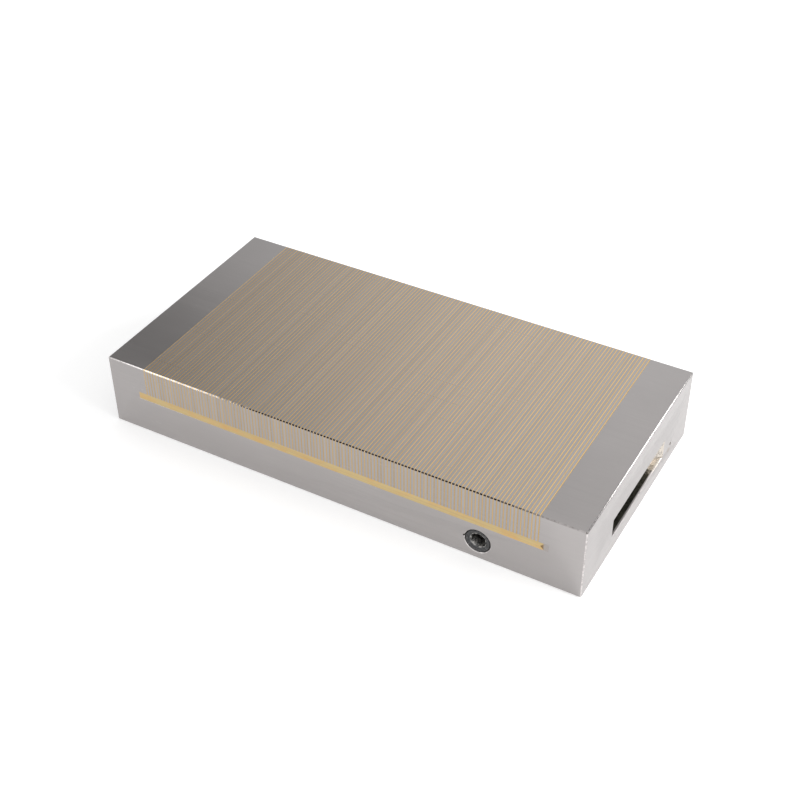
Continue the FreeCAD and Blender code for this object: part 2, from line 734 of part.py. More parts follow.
def make_all():
    pack_start = "-worked.pack_length / 2"
    make_housing()
    steel_start = f"{pack_start} + sizes.brass_plate"
    make_plates("steel_plates", "sizes.steel_plate", steel_start, "worked.steel_count")
    make_plates("brass_plates", "sizes.brass_plate", pack_start, "worked.steel_count + 1")
    make_strip("front_brass_strip", FRONT)
    make_strip("back_brass_strip", INNER_BACK)
    make_fixed_grid()
    make_cover()
    make_cover_seal()
    make_cover_screws()
    make_wear_strips()
    make_bushes()
    make_stop_screw()
    make_shaft()
    make_seal_ring()
    make_carrier()
    make_cam_plates()
    make_moving_grid()


def check():
    """Stops if any object failed or any piece has no sound solid."""
    for item in document.Objects:
        if "Invalid" in item.State or "Error" in item.State:
            raise RuntimeError(f"{item.Name}: {item.State}")
    for body in nodes:
        if body.Shape.isNull() or not body.Shape.isValid() or not body.Shape.Solids:
            raise RuntimeError(f"{body.Label} has no sound solid")


make_all()
document.recompute()
check()
os.makedirs("parts", exist_ok=True)
for body in nodes:
    body.Shape.exportStep(f"parts/{body.Label}.step")
    box = body.Shape.BoundBox
    print(
        f"{body.Label}: {len(body.Shape.Solids)} solids, {body.Shape.Volume:.1f} mm3,"
        f" x {box.XMin:.2f}..{box.XMax:.2f} y {box.YMin:.2f}..{box.YMax:.2f} z {box.ZMin:.2f}..{box.ZMax:.2f}"
    )
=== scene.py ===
"""Looks of a permanent magnetic chuck with a fine laminated working face.

The housing, the pack of plates, the brass strips, the operating shaft and the underside are
finished pieces that stand for their CAD nodes. The magnets and what moves them stay CAD nodes
with their materials. X runs along the chuck, Y from its front to its back and Z up, in metres.
"""

import math

import bmesh
import bpy
from mathutils import Matrix, Vector


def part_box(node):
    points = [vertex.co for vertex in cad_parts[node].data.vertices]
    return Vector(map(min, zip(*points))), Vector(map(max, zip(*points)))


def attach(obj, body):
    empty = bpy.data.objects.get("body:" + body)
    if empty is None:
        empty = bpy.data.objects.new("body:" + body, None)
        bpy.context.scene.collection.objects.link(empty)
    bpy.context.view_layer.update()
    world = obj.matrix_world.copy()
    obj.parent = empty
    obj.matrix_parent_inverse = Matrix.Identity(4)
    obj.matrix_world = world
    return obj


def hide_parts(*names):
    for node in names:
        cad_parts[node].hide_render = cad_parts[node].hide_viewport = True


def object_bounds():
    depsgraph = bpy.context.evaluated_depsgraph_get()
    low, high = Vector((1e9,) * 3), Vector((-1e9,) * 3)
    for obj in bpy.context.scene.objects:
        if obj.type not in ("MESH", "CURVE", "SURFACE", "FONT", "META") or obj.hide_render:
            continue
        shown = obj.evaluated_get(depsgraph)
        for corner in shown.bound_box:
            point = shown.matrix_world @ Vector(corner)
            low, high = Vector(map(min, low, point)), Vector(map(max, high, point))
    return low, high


bl_info = {
    "name": "Magnetic Chuck",
    "version": (1, 0, 0),
    "blender": (4, 5, 0),
    "location": "View3D > Sidebar > Chuck",
    "description": "Builds a magnetic chuck with a laminated working face and lights it",
    "category": "Add Mesh",
}

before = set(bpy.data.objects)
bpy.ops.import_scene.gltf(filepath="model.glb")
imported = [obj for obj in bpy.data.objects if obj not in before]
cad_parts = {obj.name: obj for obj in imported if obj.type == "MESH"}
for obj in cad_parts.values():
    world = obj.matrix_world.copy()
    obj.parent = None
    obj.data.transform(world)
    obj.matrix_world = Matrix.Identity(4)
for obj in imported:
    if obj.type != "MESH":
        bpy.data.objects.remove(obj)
CAD_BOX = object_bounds()

MM = 0.001
LOW, HIGH = CAD_BOX
HALF_LENGTH = HIGH.x
HALF_WIDTH = HIGH.y
TOP = HIGH.z
STEEL_THICKNESS = 1.5 * MM
BRASS_THICKNESS = 0.5 * MM


def linear(colour):
    """An sRGB hex colour as linear red, green, blue and alpha."""
    parts = [int(colour[i : i + 2], 16) / 255 for i in (1, 3, 5)]
    curve = [c / 12.92 if c <= 0.04045 else ((c + 0.055) / 1.055) ** 2.4 for c in parts]
    return (*curve, 1.0)


def length_property(name, description, default):
    return bpy.props.FloatProperty(
        name=name, description=description, default=default, unit="LENGTH", precision=5
    )


def colour_property(name, description, default):
    return bpy.props.FloatVectorProperty(
        name=name,
        description=description,
        default=linear(default),
        size=4,
        min=0.0,
        max=1.0,
        subtype="COLOR",
    )


class ChuckSizes(bpy.types.PropertyGroup):
    steel: length_property("Steel plate", "Thickness of a steel plate", STEEL_THICKNESS)
    brass: length_property("Brass plate", "Thickness of a brass plate", BRASS_THICKNESS)
    edge_break: length_property("Edge break", "Chamfer along the pack's top edges", 0.6 * MM)
    crisp_edge: length_property("Crisp edge", "Width taken off every other edge", 0.06 * MM)
    screw_head: length_property("Screw head", "Head diameter of a cover screw", 5.6 * MM)
    screw_thread: length_property("Screw thread", "Thread diameter of a cover screw", 3.0 * MM)
    screw_socket: length_property("Screw socket", "Hexagon across flats of a screw", 2.0 * MM)


class ChuckColours(bpy.types.PropertyGroup):
    steel: colour_property("Ground steel", "Housing and plates", "#A7A3A2")
    plate_brass: colour_property("Plate brass", "Brass of the pack", "#C6A469")
    strip_brass: colour_property("Strip brass", "Brass strips under the pack", "#CAB484")
    black_oxide: colour_property("Black oxide", "Operating shaft and screws", "#4C4C4D")


class ChuckStage(bpy.types.PropertyGroup):
    lens: bpy.props.FloatProperty(
        name="Lens",
        description="Focal length of the camera",
        default=62.3,
        subtype="DISTANCE_CAMERA",
    )
    sky: bpy.props.FloatProperty(
        name="Sky", description="Level of the light from all round", default=0.8, min=0.0
    )
    background: colour_property("Background", "Floor and backdrop", "#FFFFFF")


def add_node(tree, kind, inputs=None, **settings):
    """A node of the tree, with its settings, and its inputs set or linked."""
    made = tree.nodes.new(kind)
    for name, value in settings.items():
        setattr(made, name, value)
    for key, value in (inputs or {}).items():
        socket = made.inputs[key]
        if isinstance(value, bpy.types.NodeSocket):
            tree.links.new(value, socket)
        else:
            socket.default_value = value
    return made


# ---------------------------------------------------------------- patterns of the finishes


def spaced(tree, x, y, z):
    """Object coordinates in steps of x, y and z millimetres."""
    place = add_node(tree, "ShaderNodeTexCoord").outputs["Object"]
    steps = [1 / (step * MM) for step in (x, y, z)]
    return add_node(tree, "ShaderNodeMapping", {"Vector": place, "Scale": steps}).outputs[0]


def graded(tree, value, low, high, first, second, least=0.0, most=1.0):
    """A colour that turns from the first to the second as a value rises from low to high."""
    share = add_node(
        tree, "ShaderNodeMapRange", {"Value": value, 1: low, 2: high, 3: least, 4: most}
    ).outputs[0]
    mix = add_node(tree, "ShaderNodeMix", {0: share, 6: first, 7: second}, data_type="RGBA")
    return mix.outputs[2]


def vary_roughness(tree, shader, value, low, high, at_low, at_high):
    """Roughness that changes between two levels as a value rises from low to high."""
    level = add_node(
        tree, "ShaderNodeMapRange", {"Value": value, 1: low, 2: high, 3: at_low, 4: at_high}
    ).outputs[0]
    tree.links.new(level, shader.inputs["Roughness"])


def axes(tree, kind="Object"):
    """The parts along X, Y and Z of a place or, for "Normal", of the way a face looks."""
    source = add_node(tree, "ShaderNodeTexCoord").outputs[kind]
    return add_node(tree, "ShaderNodeSeparateXYZ", {0: source}).outputs


def clouds(tree, x, y, z, detail=3.0):
    """Soft patches of about that many millimetres, from 0 to 1."""
    inputs = {"Vector": spaced(tree, x, y, z), "Scale": 1.0, "Detail": detail}
    return add_node(tree, "ShaderNodeTexNoise", inputs).outputs[0]


def grinding_lines(tree, apart):
    """Lines left by the wheel: along X on the long faces, along Y on the ends."""
    along_x = clouds(tree, 90, apart, apart, 2.0)
    along_y = clouds(tree, apart, 60, apart, 2.0)
    on_end = add_node(
        tree,
        "ShaderNodeMapRange",
        {
            "Value": add_node(
                tree, "ShaderNodeMath", {0: axes(tree, "Normal")[0]}, operation="ABSOLUTE"
            ).outputs[0],
            1: 0.6,
            2: 0.8,
        },
    ).outputs[0]
    mix = add_node(tree, "ShaderNodeMix", {0: on_end, 2: along_x, 3: along_y})
    return mix.outputs[0]


def scratches(tree, run, apart, share):
    """Thin single scratches, kept to a share of the surface."""
    line = add_node(
        tree,
        "ShaderNodeMath",
        {0: clouds(tree, run, apart, apart, 1.0), 1: 0.5},
        operation="SUBTRACT",
    ).outputs[0]
    thin = add_node(
        tree,
        "ShaderNodeMapRange",
        {
            "Value": add_node(
                tree, "ShaderNodeMath", {0: line}, operation="ABSOLUTE"
            ).outputs[0],
            1: 0.0,
            2: 0.006,
            3: 1.0,
            4: 0.0,
        },
    ).outputs[0]
    where = add_node(
        tree,
        "ShaderNodeMapRange",
        {"Value": clouds(tree, 14, 11, 9, 0.0), 1: 0.72 - share, 2: 0.76 - share},
    ).outputs[0]
    return add_node(
        tree, "ShaderNodeMath", {0: thin, 1: where}, operation="MULTIPLY"
    ).outputs[0]


def near_edge(tree, width):
    """1 at the housing's outside edges, falling to 0 within about that many millimetres."""
    place = add_node(tree, "ShaderNodeTexCoord").outputs["Object"]
    centred = add_node(
        tree, "ShaderNodeVectorMath", {0: place, 1: (0, 0, TOP / 2)}, operation="SUBTRACT"
    ).outputs[0]
    folded = add_node(tree, "ShaderNodeVectorMath", {0: centred}, operation="ABSOLUTE").outputs[0]
    inwards = add_node(
        tree,
        "ShaderNodeVectorMath",
        {0: (HALF_LENGTH, HALF_WIDTH, TOP / 2), 1: folded},
        operation="SUBTRACT",
    ).outputs[0]
    x, y, z = add_node(tree, "ShaderNodeSeparateXYZ", {0: inwards}).outputs
    lesser = add_node(tree, "ShaderNodeMath", {0: x, 1: y}, operation="MINIMUM").outputs[0]
    greater = add_node(tree, "ShaderNodeMath", {0: x, 1: y}, operation="MAXIMUM").outputs[0]
    second = add_node(
        tree,
        "ShaderNodeMath",
        {
            0: lesser,
            1: add_node(
                tree, "ShaderNodeMath", {0: greater, 1: z}, operation="MINIMUM"
            ).outputs[0],
        },
        operation="MAXIMUM",
    ).outputs[0]
    wander = add_node(
        tree,
        "ShaderNodeMath",
        {0: clouds(tree, 5, 5, 5, 4.0), 1: 2 * width * MM},
        operation="MULTIPLY",
    ).outputs[0]
    return add_node(
        tree,
        "ShaderNodeMapRange",
        {
            "Value": add_node(
                tree, "ShaderNodeMath", {0: second, 1: wander}, operation="DIVIDE"
            ).outputs[0],
            1: 0.6,
            2: 1.2,
            3: 1.0,
            4: 0.0,
        },
    ).outputs[0]


def spot(tree, centre, radius):
    """1 within about that many millimetres of a place, with a ragged border."""
    place = add_node(tree, "ShaderNodeTexCoord").outputs["Object"]
    reach = add_node(
        tree, "ShaderNodeVectorMath", {0: place, 1: centre}, operation="DISTANCE"
    ).outputs["Value"]
    ragged = add_node(
        tree,
        "ShaderNodeMath",
        {0: clouds(tree, 2, 2, 2, 4.0), 1: 2 * radius * MM},
        operation="MULTIPLY",
    ).outputs[0]
    return add_node(
        tree,
        "ShaderNodeMapRange",
        {
            "Value": add_node(
                tree, "ShaderNodeMath", {0: reach, 1: ragged}, operation="DIVIDE"
            ).outputs[0],
            1: 0.5,
            2: 1.0,
            3: 1.0,
            4: 0.0,
        },
    ).outputs[0]


def metal(name, colour, roughness):
    """A metal, with the colour and roughness of its bare surface set on the shader."""
    material = bpy.data.materials.new(name)
    material.use_nodes = True
    tree = material.node_tree
    shader = tree.nodes["Principled BSDF"]
    shader.inputs["Metallic"].default_value = 1.0
    shader.inputs["Base Color"].default_value = colour
    shader.inputs["Roughness"].default_value = roughness
    return material, tree, shader


def bump(tree, shader, height, depth):
    """Relief of that many millimetres, from a height between 0 and 1."""
    inputs = {"Strength": 1.0, "Distance": depth * MM, "Height": height}
    relief = add_node(tree, "ShaderNodeBump", inputs)
    tree.links.new(relief.outputs[0], shader.inputs["Normal"])


def shade(colour, factor):
    return (*[min(1.0, part * factor) for part in colour[:3]], 1.0)


# ---------------------------------------------------------------------------- materials


def ground_steel(name, colour):
    # carbon steel off a surface grinder: a pale satin, with fine lines the way of the table
    # and faint clouds where coolant dried. The wheel's lines are drawn 0.9 mm apart, which
    # is coarser than the real ones, so that they show
    material, tree, shader = metal(name, colour, 0.32)
    lines = grinding_lines(tree, 0.9)
    patches = clouds(tree, 38, 30, 18, 4.0)
    toned = graded(tree, patches, 0.3, 0.7, shade(colour, 0.97), shade(colour, 1.04))
    lined = graded(tree, lines, 0.3, 0.6, shade(colour, 0.98), toned)
    marks = scratches(tree, 30, 3.2, 0.08)
    scratched = add_node(
        tree,
        "ShaderNodeMix",
        {
            0: add_node(
                tree, "ShaderNodeMath", {0: marks, 1: 0.5}, operation="MULTIPLY"
            ).outputs[0],
            6: lined,
            7: shade(colour, 1.3),
        },
        data_type="RGBA",
    ).outputs[2]
    worn = add_node(
        tree,
        "ShaderNodeMix",
        {
            0: add_node(
                tree, "ShaderNodeMath", {0: near_edge(tree, 0.5), 1: 0.6}, operation="MULTIPLY"
            ).outputs[0],
            6: scratched,
            7: shade(colour, 1.35),
        },
        data_type="RGBA",
    ).outputs[2]
    below_hole = spot(tree, (HALF_LENGTH, 46.6 * MM, 9.6 * MM), 2.2)
    oiled = add_node(
        tree,
        "ShaderNodeMix",
        {
            0: add_node(
                tree, "ShaderNodeMath", {0: below_hole, 1: 0.5}, operation="MULTIPLY"
            ).outputs[0],
            6: worn,
            7: linear("#8C7B66"),
        },
        data_type="RGBA",
    ).outputs[2]
    tree.links.new(oiled, shader.inputs["Base Color"])
    vary_roughness(tree, shader, lines, 0.3, 0.7, 0.29, 0.35)
    bump(tree, shader, lines, 0.0008)
    return material


def stoned_edge_and_painted_light(name, colour, edge_shade_colour):
    # the same metal where its edge was broken by hand with a stone: smooth, with its colour
    # raised as a painted highlight, so that it draws a thin line of light. Along the top of the
    # right end it is painted darker, as painted shade. Along the front of the working face the
    # edge is painted darker as painted shade, standing for a dark reflection, all but at its two
    # ends, which keep the painted highlight
    material, tree, shader = metal(name, shade(colour, 1.45), 0.24)
    nicks = clouds(tree, 1.6, 1.6, 1.6, 5.0)
    rough = add_node(tree, "ShaderNodeMapRange", {"Value": nicks, 1: 0.35, 2: 0.6}).outputs[0]
    # painted highlight: the edge's colour is raised to 1.1 to 1.6 times the metal's, so that it
    # draws a line of light
    edge_highlight = add_node(
        tree,
        "ShaderNodeMix",
        {0: rough, 6: shade(colour, 1.1), 7: shade(colour, 1.6)},
        data_type="RGBA",
    ).outputs[2]
    # painted shade: along the top edge of the right end the edge gets 0.3 to 0.55 of the metal's
    # colour, to tone down its line of light
    soft = add_node(
        tree,
        "ShaderNodeMix",
        {0: rough, 6: shade(colour, 0.3), 7: shade(colour, 0.55)},
        data_type="RGBA",
    ).outputs[2]
    x, y, z = axes(tree)
    upper = add_node(
        tree, "ShaderNodeMath", {0: z, 1: TOP - MM}, operation="GREATER_THAN"
    ).outputs[0]
    at_end = add_node(
        tree, "ShaderNodeMath", {0: x, 1: HALF_LENGTH - MM}, operation="GREATER_THAN"
    ).outputs[0]
    at_end = add_node(
        tree, "ShaderNodeMath", {0: at_end, 1: upper}, operation="MULTIPLY"
    ).outputs[0]
    edge_highlight = add_node(
        tree, "ShaderNodeMix", {0: at_end, 6: edge_highlight, 7: soft}, data_type="RGBA"
    ).outputs[2]
    # painted shade along the front top edge, standing for a dark reflection, fading out towards
    # the two ends, where the painted highlight stays
    front = add_node(
        tree, "ShaderNodeMath", {0: y, 1: MM - HALF_WIDTH}, operation="LESS_THAN"
    ).outputs[0]
    wander = add_node(
        tree, "ShaderNodeMath", {0: clouds(tree, 3, 3, 3, 4.0), 1: 0.5}, operation="SUBTRACT"
    ).outputs[0]
    wander = add_node(
        tree, "ShaderNodeMath", {0: wander, 1: 80 * MM}, operation="MULTIPLY"
    ).outputs[0]
    from_left = add_node(
        tree,
        "ShaderNodeMapRange",
        {
            "Value": add_node(
                tree, "ShaderNodeMath", {0: x, 1: wander}, operation="ADD"
            ).outputs[0],
            1: -85 * MM,
            2: -50 * MM,
        },
    ).outputs[0]
    from_right = add_node(
        tree,
        "ShaderNodeMapRange",
        {
            "Value": add_node(
                tree, "ShaderNodeMath", {0: x, 1: wander}, operation="ADD"
            ).outputs[0],
            1: 100 * MM,
            2: 145 * MM,
            3: 1.0,
            4: 0.3,
        },
    ).outputs[0]
    oiled = add_node(
        tree, "ShaderNodeMath", {0: from_left, 1: from_right}, operation="MULTIPLY"
    ).outputs[0]
    oiled = add_node(
        tree,
        "ShaderNodeMath",
        {
            0: oiled,
            1: add_node(
                tree, "ShaderNodeMath", {0: front, 1: upper}, operation="MULTIPLY"
            ).outputs[0],
        },
        operation="MULTIPLY",
    ).outputs[0]
    film = graded(tree, nicks, 0.4, 0.65, linear(edge_shade_colour), shade(linear(edge_shade_colour), 1.5))
    tree.links.new(
        add_node(
            tree, "ShaderNodeMix", {0: oiled, 6: edge_highlight, 7: film}, data_type="RGBA"
        ).outputs[2],
        shader.inputs["Base Color"],
    )
    vary_roughness(tree, shader, oiled, 0.0, 1.0, 0.24, 0.4)
    bump(tree, shader, nicks, 0.003)
    return material


def milled_steel_in_painted_shade(name, colour):
    # steel as the disc cutter left it, never ground: dull and speckled with old oil. Its near
    # black colour is painted shade, for the slot lies in shade, and just inside the slot's mouth
    # it is painted grey as painted light, where light reaches in. Its shallow end is painted
    # bright, partly as scuffs and partly as painted light where that shallow floor catches the
    # light
    # painted shade: the slot's inside gets a near black colour because it lies in shade
    dark = linear("#37362F")
    material, tree, shader = metal(name, dark, 0.5)
    grit = clouds(tree, 0.9, 0.9, 0.9, 4.0)
    scale = graded(tree, grit, 0.35, 0.65, shade(dark, 0.4), shade(dark, 1.9))
    x, y, _ = axes(tree)
    wander = add_node(
        tree,
        "ShaderNodeMath",
        {0: clouds(tree, 1.5, 1.5, 1.5, 5.0), 1: 16 * MM},
        operation="MULTIPLY",
    ).outputs[0]
    # towards the shallow end the colour turns bright: scuffs, and painted light where that floor
    # catches the light
    rubbed = add_node(
        tree,
        "ShaderNodeMapRange",
        {
            "Value": add_node(
                tree, "ShaderNodeMath", {0: y, 1: wander}, operation="ADD"
            ).outputs[0],
            1: 28 * MM,
            2: 34 * MM,
        },
    ).outputs[0]
    scuffs = add_node(
        tree, "ShaderNodeMapRange", {"Value": clouds(tree, 3, 1.2, 1.2, 4.0), 1: 0.34, 2: 0.56}
    ).outputs[0]
    lit_scuffed_colour = (colour[0] * 1.6, colour[1] * 1.55, colour[2] * 1.4, 1.0)
    worn = add_node(
        tree, "ShaderNodeMix", {0: scuffs, 6: shade(lit_scuffed_colour, 0.5), 7: lit_scuffed_colour}, data_type="RGBA"
    ).outputs[2]
    depth = add_node(
        tree,
        "ShaderNodeMath",
        {
            0: HALF_LENGTH,
            1: add_node(tree, "ShaderNodeMath", {0: x}, operation="ABSOLUTE").outputs[0],
        },
        operation="SUBTRACT",
    ).outputs[0]
    # painted light: a lighter grey within about a millimetre of the mouth, where light reaches in
    lit_mouth_band = add_node(
        tree, "ShaderNodeMapRange", {"Value": depth, 1: 0.7 * MM, 2: 1.3 * MM, 3: 1.0, 4: 0.0}
    ).outputs[0]
    floored = add_node(
        tree, "ShaderNodeMix", {0: lit_mouth_band, 6: scale, 7: shade(colour, 1.1)}, data_type="RGBA"
    ).outputs[2]
    tree.links.new(
        add_node(
            tree, "ShaderNodeMix", {0: rubbed, 6: floored, 7: worn}, data_type="RGBA"
        ).outputs[2],
        shader.inputs["Base Color"],
    )
    vary_roughness(tree, shader, rubbed, 0.0, 1.0, 0.55, 0.32)
    bump(tree, shader, grit, 0.02)
    return material


def plate_metal(name, colour, roughness, spread, top_painted_light):
    # plates of the pack, ground in one pass with the housing. Each plate takes the light a
    # little differently, and a fine dark line stays along its joints. Faces that look up are made
    # brighter than the front by a given factor, as painted light on the working face
    material, tree, shader = metal(name, colour, roughness)
    tone = add_node(tree, "ShaderNodeAttribute", attribute_name="tone").outputs["Fac"]
    own = add_node(
        tree,
        "ShaderNodeMix",
        {0: tone, 6: shade(colour, 1 - spread), 7: shade(colour, 1 + spread)},
        data_type="RGBA",
    ).outputs[2]
    across = add_node(tree, "ShaderNodeAttribute", attribute_name="across").outputs["Fac"]
    joint = add_node(
        tree,
        "ShaderNodeMapRange",
        {
            "Value": add_node(
                tree, "ShaderNodeMath", {0: across}, operation="ABSOLUTE"
            ).outputs[0],
            1: 0.62,
            2: 0.96,
        },
    ).outputs[0]
    jointed = add_node(
        tree,
        "ShaderNodeMix",
        {
            0: add_node(
                tree, "ShaderNodeMath", {0: joint, 1: 0.35}, operation="MULTIPLY"
            ).outputs[0],
            6: own,
            7: shade(colour, 0.35),
        },
        data_type="RGBA",
    ).outputs[2]
    lines = grinding_lines(tree, 0.9)
    lined = graded(tree, lines, 0.2, 0.5, shade(colour, 0.96), jointed)
    # painted light: faces that look up get a brighter colour, so that the working face reads
    # lighter than the front
    lift = add_node(
        tree,
        "ShaderNodeMapRange",
        {"Value": axes(tree, "Normal")[2], 1: 0.8, 2: 0.95, 3: 1.0, 4: top_painted_light},
    ).outputs[0]
    top_lit_colour = add_node(
        tree, "ShaderNodeVectorMath", {0: lined, "Scale": lift}, operation="SCALE"
    ).outputs[0]
    tree.links.new(top_lit_colour, shader.inputs["Base Color"])
    vary_roughness(tree, shader, lines, 0.3, 0.7, roughness - 0.03, roughness + 0.03)
    bump(tree, shader, lines, 0.0008)
    return material


def strip_metal(name, colour):
    # half-hard brass strip brazed into its slot and ground flush: warm and satin, with
    # redder patches of solder. A dark fishtail at its right end is painted shade, standing for a
    # notch that the mesh does not have, and steel was smeared over the solder in the last three
    # millimetres of the slot
    material, tree, shader = metal(name, colour, 0.4)
    patches = clouds(tree, 9, 6, 4, 3.0)
    red = (min(1.0, colour[0] * 1.06), colour[1] * 0.86, colour[2] * 0.7, 1.0)
    toned = graded(tree, patches, 0.42, 0.68, colour, red)
    lines = grinding_lines(tree, 0.7)
    lined = graded(tree, lines, 0.3, 0.6, shade(colour, 0.86), toned)
    low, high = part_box("front_brass_strip")
    x, _, z = axes(tree)
    past_cut = add_node(
        tree, "ShaderNodeMath", {0: x, 1: high.x - 4.8 * MM}, operation="SUBTRACT"
    ).outputs[0]
    off_middle = add_node(
        tree, "ShaderNodeMath", {0: z, 1: (low.z + high.z) / 2}, operation="SUBTRACT"
    ).outputs[0]
    in_tail = add_node(
        tree,
        "ShaderNodeMath",
        {
            0: past_cut,
            1: add_node(
                tree, "ShaderNodeMath", {0: off_middle}, operation="ABSOLUTE"
            ).outputs[0],
        },
        operation="SUBTRACT",
    ).outputs[0]
    # painted shade: the fishtail is coloured dark brown, as a notch there would lie in shade
    notch_shade_colour = graded(tree, in_tail, 0.0, 0.5 * MM, lined, linear("#6A5238"), 0.0, 0.8)
    filled = add_node(
        tree,
        "ShaderNodeMapRange",
        {"Value": past_cut, 1: 1.5 * MM, 2: 2.6 * MM, 3: 0.0, 4: 0.85},
    ).outputs[0]
    ended = add_node(
        tree,
        "ShaderNodeMix",
        {0: filled, 6: notch_shade_colour, 7: tuple(bpy.context.scene.chuck_colours.steel)},
        data_type="RGBA",
    ).outputs[2]
    tree.links.new(ended, shader.inputs["Base Color"])
    vary_roughness(tree, shader, lines, 0.3, 0.7, 0.34, 0.46)
    bump(tree, shader, lines, 0.004)
    return material


def black_oxide_steel(name, colour):
    # turned alloy steel, blackened in a hot salt bath: near black with a soft oily sheen,
    # with the tool's rings still in it, and rubbed grey on its proud edges
    material, tree, shader = metal(name, colour, 0.34)
    rings = clouds(tree, 0.5, 0.5, 0.5, 3.0)
    worn = clouds(tree, 2.4, 2.4, 2.4, 5.0)
    toned = graded(tree, rings, 0.3, 0.7, shade(colour, 0.7), shade(colour, 1.2))
    rubbed = graded(tree, worn, 0.58, 0.7, toned, shade(colour, 3.0), 0.0, 0.5)
    tree.links.new(rubbed, shader.inputs["Base Color"])
    vary_roughness(tree, shader, worn, 0.3, 0.7, 0.42, 0.28)
    bump(tree, shader, rings, 0.01)
    return material


def turned_face_steel(name, colour, axis):
    # the shaft's face as it came off the lathe and out of the salt bath: near black, with
    # the tool's rings about its axis, a black line round its rim that is painted shade of the gap
    # between shaft and bore, and the socket's walls rubbed grey by the key. The rings are drawn
    # 0.7 mm apart, so that they show
    material, tree, shader = metal(name, colour, 0.34)
    x, _, z = axes(tree)
    off_axis = add_node(
        tree,
        "ShaderNodeCombineXYZ",
        {
            0: add_node(
                tree, "ShaderNodeMath", {0: x, 1: axis[0]}, operation="SUBTRACT"
            ).outputs[0],
            1: add_node(
                tree, "ShaderNodeMath", {0: z, 1: axis[1]}, operation="SUBTRACT"
            ).outputs[0],
        },
    ).outputs[0]
    radius = add_node(
        tree, "ShaderNodeVectorMath", {0: off_axis}, operation="LENGTH"
    ).outputs["Value"]
    wave = add_node(
        tree,
        "ShaderNodeMath",
        {
            0: add_node(
                tree,
                "ShaderNodeMath",
                {0: radius, 1: math.tau / (0.7 * MM)},
                operation="MULTIPLY",
            ).outputs[0]
        },
        operation="SINE",
    ).outputs[0]
    rings = add_node(tree, "ShaderNodeMapRange", {"Value": wave, 1: -1.0, 2: 1.0}).outputs[0]
    worn = clouds(tree, 1.4, 1.4, 1.4, 5.0)
    toned = add_node(
        tree,
        "ShaderNodeMix",
        {0: rings, 6: shade(colour, 0.6), 7: shade(colour, 1.5)},
        data_type="RGBA",
    ).outputs[2]
    rubbed = graded(tree, worn, 0.55, 0.7, toned, shade(colour, 3.0), 0.0, 0.4)
    # painted shade: the rim is darkened to near black, as the gap between shaft and bore would be
    rim = add_node(
        tree, "ShaderNodeMapRange", {"Value": radius, 1: 7.0 * MM, 2: 7.25 * MM}
    ).outputs[0]
    rim_shaded = add_node(
        tree, "ShaderNodeMix", {0: rim, 6: rubbed, 7: shade(colour, 0.12)}, data_type="RGBA"
    ).outputs[2]
    inside = add_node(
        tree, "ShaderNodeMapRange", {"Value": radius, 1: 4.7 * MM, 2: 5.0 * MM, 3: 1.0, 4: 0.0}
    ).outputs[0]
    keyed = graded(tree, worn, 0.4, 0.62, shade(colour, 1.2), linear("#B4B2AE"))
    walled = add_node(
        tree, "ShaderNodeMix", {0: inside, 6: rim_shaded, 7: keyed}, data_type="RGBA"
    ).outputs[2]
    tree.links.new(walled, shader.inputs["Base Color"])
    vary_roughness(tree, shader, worn, 0.3, 0.7, 0.42, 0.28)
    bump(tree, shader, rings, 0.01)
    return material


def rolled_steel(name, colour):
    # cold-rolled sheet with a thin oil film: even and grey, its grain along the sheet
    material, tree, shader = metal(name, colour, 0.38)
    grain = clouds(tree, 45, 0.8, 45, 3.0)
    film = clouds(tree, 40, 34, 40, 4.0)
    toned = graded(tree, film, 0.3, 0.7, shade(colour, 0.88), shade(colour, 1.08))
    lined = graded(tree, grain, 0.3, 0.65, shade(colour, 0.85), toned)
    tree.links.new(lined, shader.inputs["Base Color"])
    vary_roughness(tree, shader, film, 0.3, 0.7, 0.3, 0.46)
    bump(tree, shader, grain, 0.004)
    return material


def machined_metal(name, colour, roughness, apart):
    # bronze, iron, aluminium or hardened steel off the mill or the grinder: the tool's lines
    # lie side by side, and old oil darkens it in patches
    material, tree, shader = metal(name, colour, roughness)
    lines = grinding_lines(tree, apart)
    oil = clouds(tree, 22, 18, 14, 4.0)
    toned = graded(tree, oil, 0.35, 0.7, shade(colour, 0.86), shade(colour, 1.06))
    lined = graded(tree, lines, 0.35, 0.6, shade(colour, 0.88), toned)
    tree.links.new(lined, shader.inputs["Base Color"])
    vary_roughness(tree, shader, oil, 0.3, 0.7, roughness - 0.06, roughness + 0.08)
    bump(tree, shader, lines, 0.008)
    return material


def plated_magnet(name, colour):
    # neodymium magnet under electroplated nickel: smooth, bright and faintly yellow, with
    # a slight orange peel
    material, tree, shader = metal(name, colour, 0.2)
    peel = clouds(tree, 0.9, 0.9, 0.9, 2.0)
    dull = clouds(tree, 10, 8, 8, 4.0)
    toned = graded(tree, dull, 0.3, 0.7, shade(colour, 0.9), shade(colour, 1.05))
    tree.links.new(toned, shader.inputs["Base Color"])
    vary_roughness(tree, shader, dull, 0.3, 0.7, 0.26, 0.16)
    bump(tree, shader, peel, 0.01)
    return material


def nitrile_rubber(name):
    # moulded nitrile rubber: black and matt, with a bloom that greys it in patches
    black = linear("#1D1D1E")
    material, tree, shader = metal(name, black, 0.7)
    shader.inputs["Metallic"].default_value = 0.0
    shader.inputs["IOR"].default_value = 1.52
    bloom = clouds(tree, 4, 4, 4, 5.0)
    toned = graded(tree, bloom, 0.4, 0.75, black, linear("#38383A"))
    tree.links.new(toned, shader.inputs["Base Color"])
    vary_roughness(tree, shader, bloom, 0.3, 0.7, 0.62, 0.8)
    bump(tree, shader, clouds(tree, 0.4, 0.4, 0.4, 3.0), 0.01)
    return material


# ------------------------------------------------------------------------- making pieces


